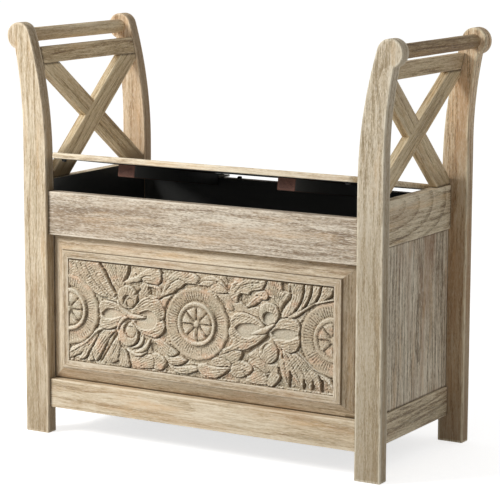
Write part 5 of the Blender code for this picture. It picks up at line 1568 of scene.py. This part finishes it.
def set_screws(name, places, head, length, facing, turn, body, nodes):
    """Puts one screw at each place; turn is the movement of the piece that they hold."""
    mesh = bpy.data.meshes.new(name + "_places")
    mesh.from_pydata(places, [], [])
    holder = added(name + "_places", mesh)
    made = screws.made(name, {"Places": holder, "Head Radius": head, "Shank Radius": SHANK,
                              "Head Height": HEAD_HEIGHT, "Length": length, "Facing": facing,
                              "Seed": len(name), "Material": screw_steel})
    bpy.data.objects.remove(holder, do_unlink=True)
    made.transform(turn)
    made.shade_smooth()
    made.set_sharp_from_angle(angle=math.radians(35))
    piece = added(name, made)
    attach(piece, body)
    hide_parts(*nodes)


screws = screw_tree()
screw_steel = dull_steel("screw_steel", (0.42, 0.40, 0.36))
set_screws("rail_hinge_screws", [(x, HINGE_SCREW_Y, FIXED_LEAF_TOP) for x in LEAF_SCREW_X], LEAF_HEAD,
           LEAF_SCREW_LENGTH, (0, 0, 1), Matrix(), "bench", ["rail_hinge_screw_%d" % k for k in (1, 2, 3, 4)])
set_screws("lid_hinge_screws", [(x, HINGE_SCREW_Y, LID_LEAF_UNDER) for x in LEAF_SCREW_X], LEAF_HEAD,
           LEAF_SCREW_LENGTH, (0, 0, -1), LID_TURN, "lid", ["lid_hinge_screw_%d" % k for k in (1, 2, 3, 4)])
set_screws("batten_screws", BATTEN_SCREWS, BATTEN_HEAD, BATTEN_SCREW_LENGTH, (0, 0, -1), LID_TURN, "lid",
           ["batten_screw_%d" % k for k in (1, 2, 3, 4)])


# Bumpers
# Four soft rubber buttons that the closed lid lies on: two on the back rail and two under the
# front corners of the lid.

BUMPER_PROFILE = ((0.0045, 0.0), (0.0045, 0.45), (0.0043, 0.70), (0.0038, 0.88), (0.0028, 0.97),
                  (0.0014, 1.0))
BUMPER_HEIGHT, BUMPER_SIDES, BUMPER_Y = 0.0044, 28, 0.162
RAIL_BUMPER_X, RAIL_BUMPER_Z, LID_BUMPER_X, LID_BUMPER_Z = 0.110, 0.4553, 0.2935, 0.4597


def rubber(name):
    """Soft black rubber with a little dust."""
    w = Finish(name)
    place = w.add("ShaderNodeTexCoord", {}, "Object")
    dust = w.noise(place, 700.0, 3.0)
    colour = w.ramp(dust, ((0.35, (0.018, 0.018, 0.018)), (0.75, (0.05, 0.048, 0.045))))
    return w.surface(colour, w.between(dust, 0.3, 0.7, 0.62, 0.85), dust, 0.0001, 0.5)


def button_mesh(name, x, y, z, rise):
    """A low domed button standing on z, or hanging from it where the rise is negative."""
    shape = bmesh.new()
    turns = [2 * math.pi * k / BUMPER_SIDES for k in range(BUMPER_SIDES)]
    loops = [[shape.verts.new((x + r * math.cos(t), y + r * math.sin(t), z + rise * share)) for t in turns]
             for r, share in BUMPER_PROFILE]
    return skinned(name, shape, loops)


bumper_rubber = rubber("bumper_soft_rubber")
for side_name, side in SIDES:
    mesh = button_mesh("rubber_rail_bumper", side * RAIL_BUMPER_X, BUMPER_Y, RAIL_BUMPER_Z, BUMPER_HEIGHT)
    rear = finished("rubber_rail_bumper_" + side_name, mesh, bumper_rubber)
    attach(rear, "bench")
    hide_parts("rail_bumper_" + side_name)
    mesh = button_mesh("rubber_lid_bumper", side * LID_BUMPER_X, -BUMPER_Y, LID_BUMPER_Z, -BUMPER_HEIGHT)
    mesh.transform(LID_TURN)
    front = finished("rubber_lid_bumper_" + side_name, mesh, bumper_rubber)
    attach(front, "lid")
    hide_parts("lid_bumper_" + side_name)


# Studio
# A plain pale floor that runs back out of sight, one large soft key lamp from the upper left,
# an even pale room and the camera at the height and angle that the bench is seen from.

FLOOR_GLOW, ROOM_GLOW = 0.69, 0.44
CAMERA_AIM, CAMERA_DISTANCE = Vector((0.0085, 0.0, 0.3501)), 4.064
CAMERA_TURN, CAMERA_TILT, CAMERA_ROLL = math.radians(30.426), math.radians(9.543), math.radians(0.193)
FOCAL_PIXELS, PICTURE_PIXELS, SENSOR_WIDTH = 2216.6, 500, 36.0

floor_mesh = bpy.data.meshes.new("studio_floor")
far = 14                      # half the width of the floor, in metres
floor_mesh.from_pydata([(-far, -far, 0), (far, -far, 0), (far, far, 0), (-far, far, 0)], [], [(0, 1, 2, 3)])
studio_floor = added("studio_floor", floor_mesh)
studio_floor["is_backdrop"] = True

w = Finish("studio_floor_white")
w.shader.inputs["Base Color"].default_value = (0.80, 0.80, 0.80, 1.0)
w.shader.inputs["Roughness"].default_value = 0.9
path = w.add("ShaderNodeLightPath", {}).node.outputs
seen = w.math("MAXIMUM", w.math("MAXIMUM", path["Is Camera Ray"], path["Is Glossy Ray"]),
              path["Is Transmission Ray"])
glow = w.add("ShaderNodeEmission", {"Color": (1, 1, 1, 1), "Strength": w.times(seen, FLOOR_GLOW)})
both = w.add("ShaderNodeAddShader", {0: w.shader.outputs[0], 1: glow})
w.put(w.tree.nodes["Material Output"].inputs["Surface"], both)
floor_mesh.materials.append(w.material)

room = bpy.data.worlds.new("studio_room")
bpy.context.scene.world = room
room.use_nodes = True
room.node_tree.nodes.clear()
sky = Wiring(room.node_tree)
path = sky.add("ShaderNodeLightPath", {}).node.outputs
direct = sky.math("MAXIMUM", path["Is Camera Ray"], path["Is Transmission Ray"])
strength = sky.add("ShaderNodeMapRange", {"Value": direct, "To Min": ROOM_GLOW, "To Max": 1.0})
background = sky.add("ShaderNodeBackground", {"Color": (1.0, 1.0, 1.0, 1.0), "Strength": strength})
sky.put(sky.tree.nodes.new("ShaderNodeOutputWorld").inputs["Surface"], background)


def lamp(name, place, aim, size, power):
    """A round soft lamp that looks at a point."""
    light = bpy.data.lights.new(name, "AREA")
    light.shape = "DISK"
    light.size = size
    light.energy = power
    holder = added(name, light)
    holder.location = place
    holder.rotation_euler = (Vector(aim) - Vector(place)).to_track_quat("-Z", "Y").to_euler()


lamp("key_lamp", place=(-1.37, -1.52, 1.62), aim=(-0.05, 0.0, 0.4), size=0.95, power=37.0)

away = Vector((math.sin(CAMERA_TURN) * math.cos(CAMERA_TILT), -math.cos(CAMERA_TURN) * math.cos(CAMERA_TILT),
               math.sin(CAMERA_TILT)))
right = Vector((0, 0, 1)).cross(away).normalized()
up = away.cross(right)
rolled_right = right * math.cos(CAMERA_ROLL) + up * math.sin(CAMERA_ROLL)
camera = added("camera", bpy.data.cameras.new("camera"))
camera.data.sensor_width = SENSOR_WIDTH
camera.data.lens = FOCAL_PIXELS / PICTURE_PIXELS * SENSOR_WIDTH
camera.matrix_world = Matrix.Translation(CAMERA_AIM + away * CAMERA_DISTANCE) @ Matrix(
    (rolled_right, away.cross(rolled_right), away)).transposed().to_4x4()
bpy.context.scene.camera = camera
bpy.context.scene.view_settings.view_transform = "Standard"

low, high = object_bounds()
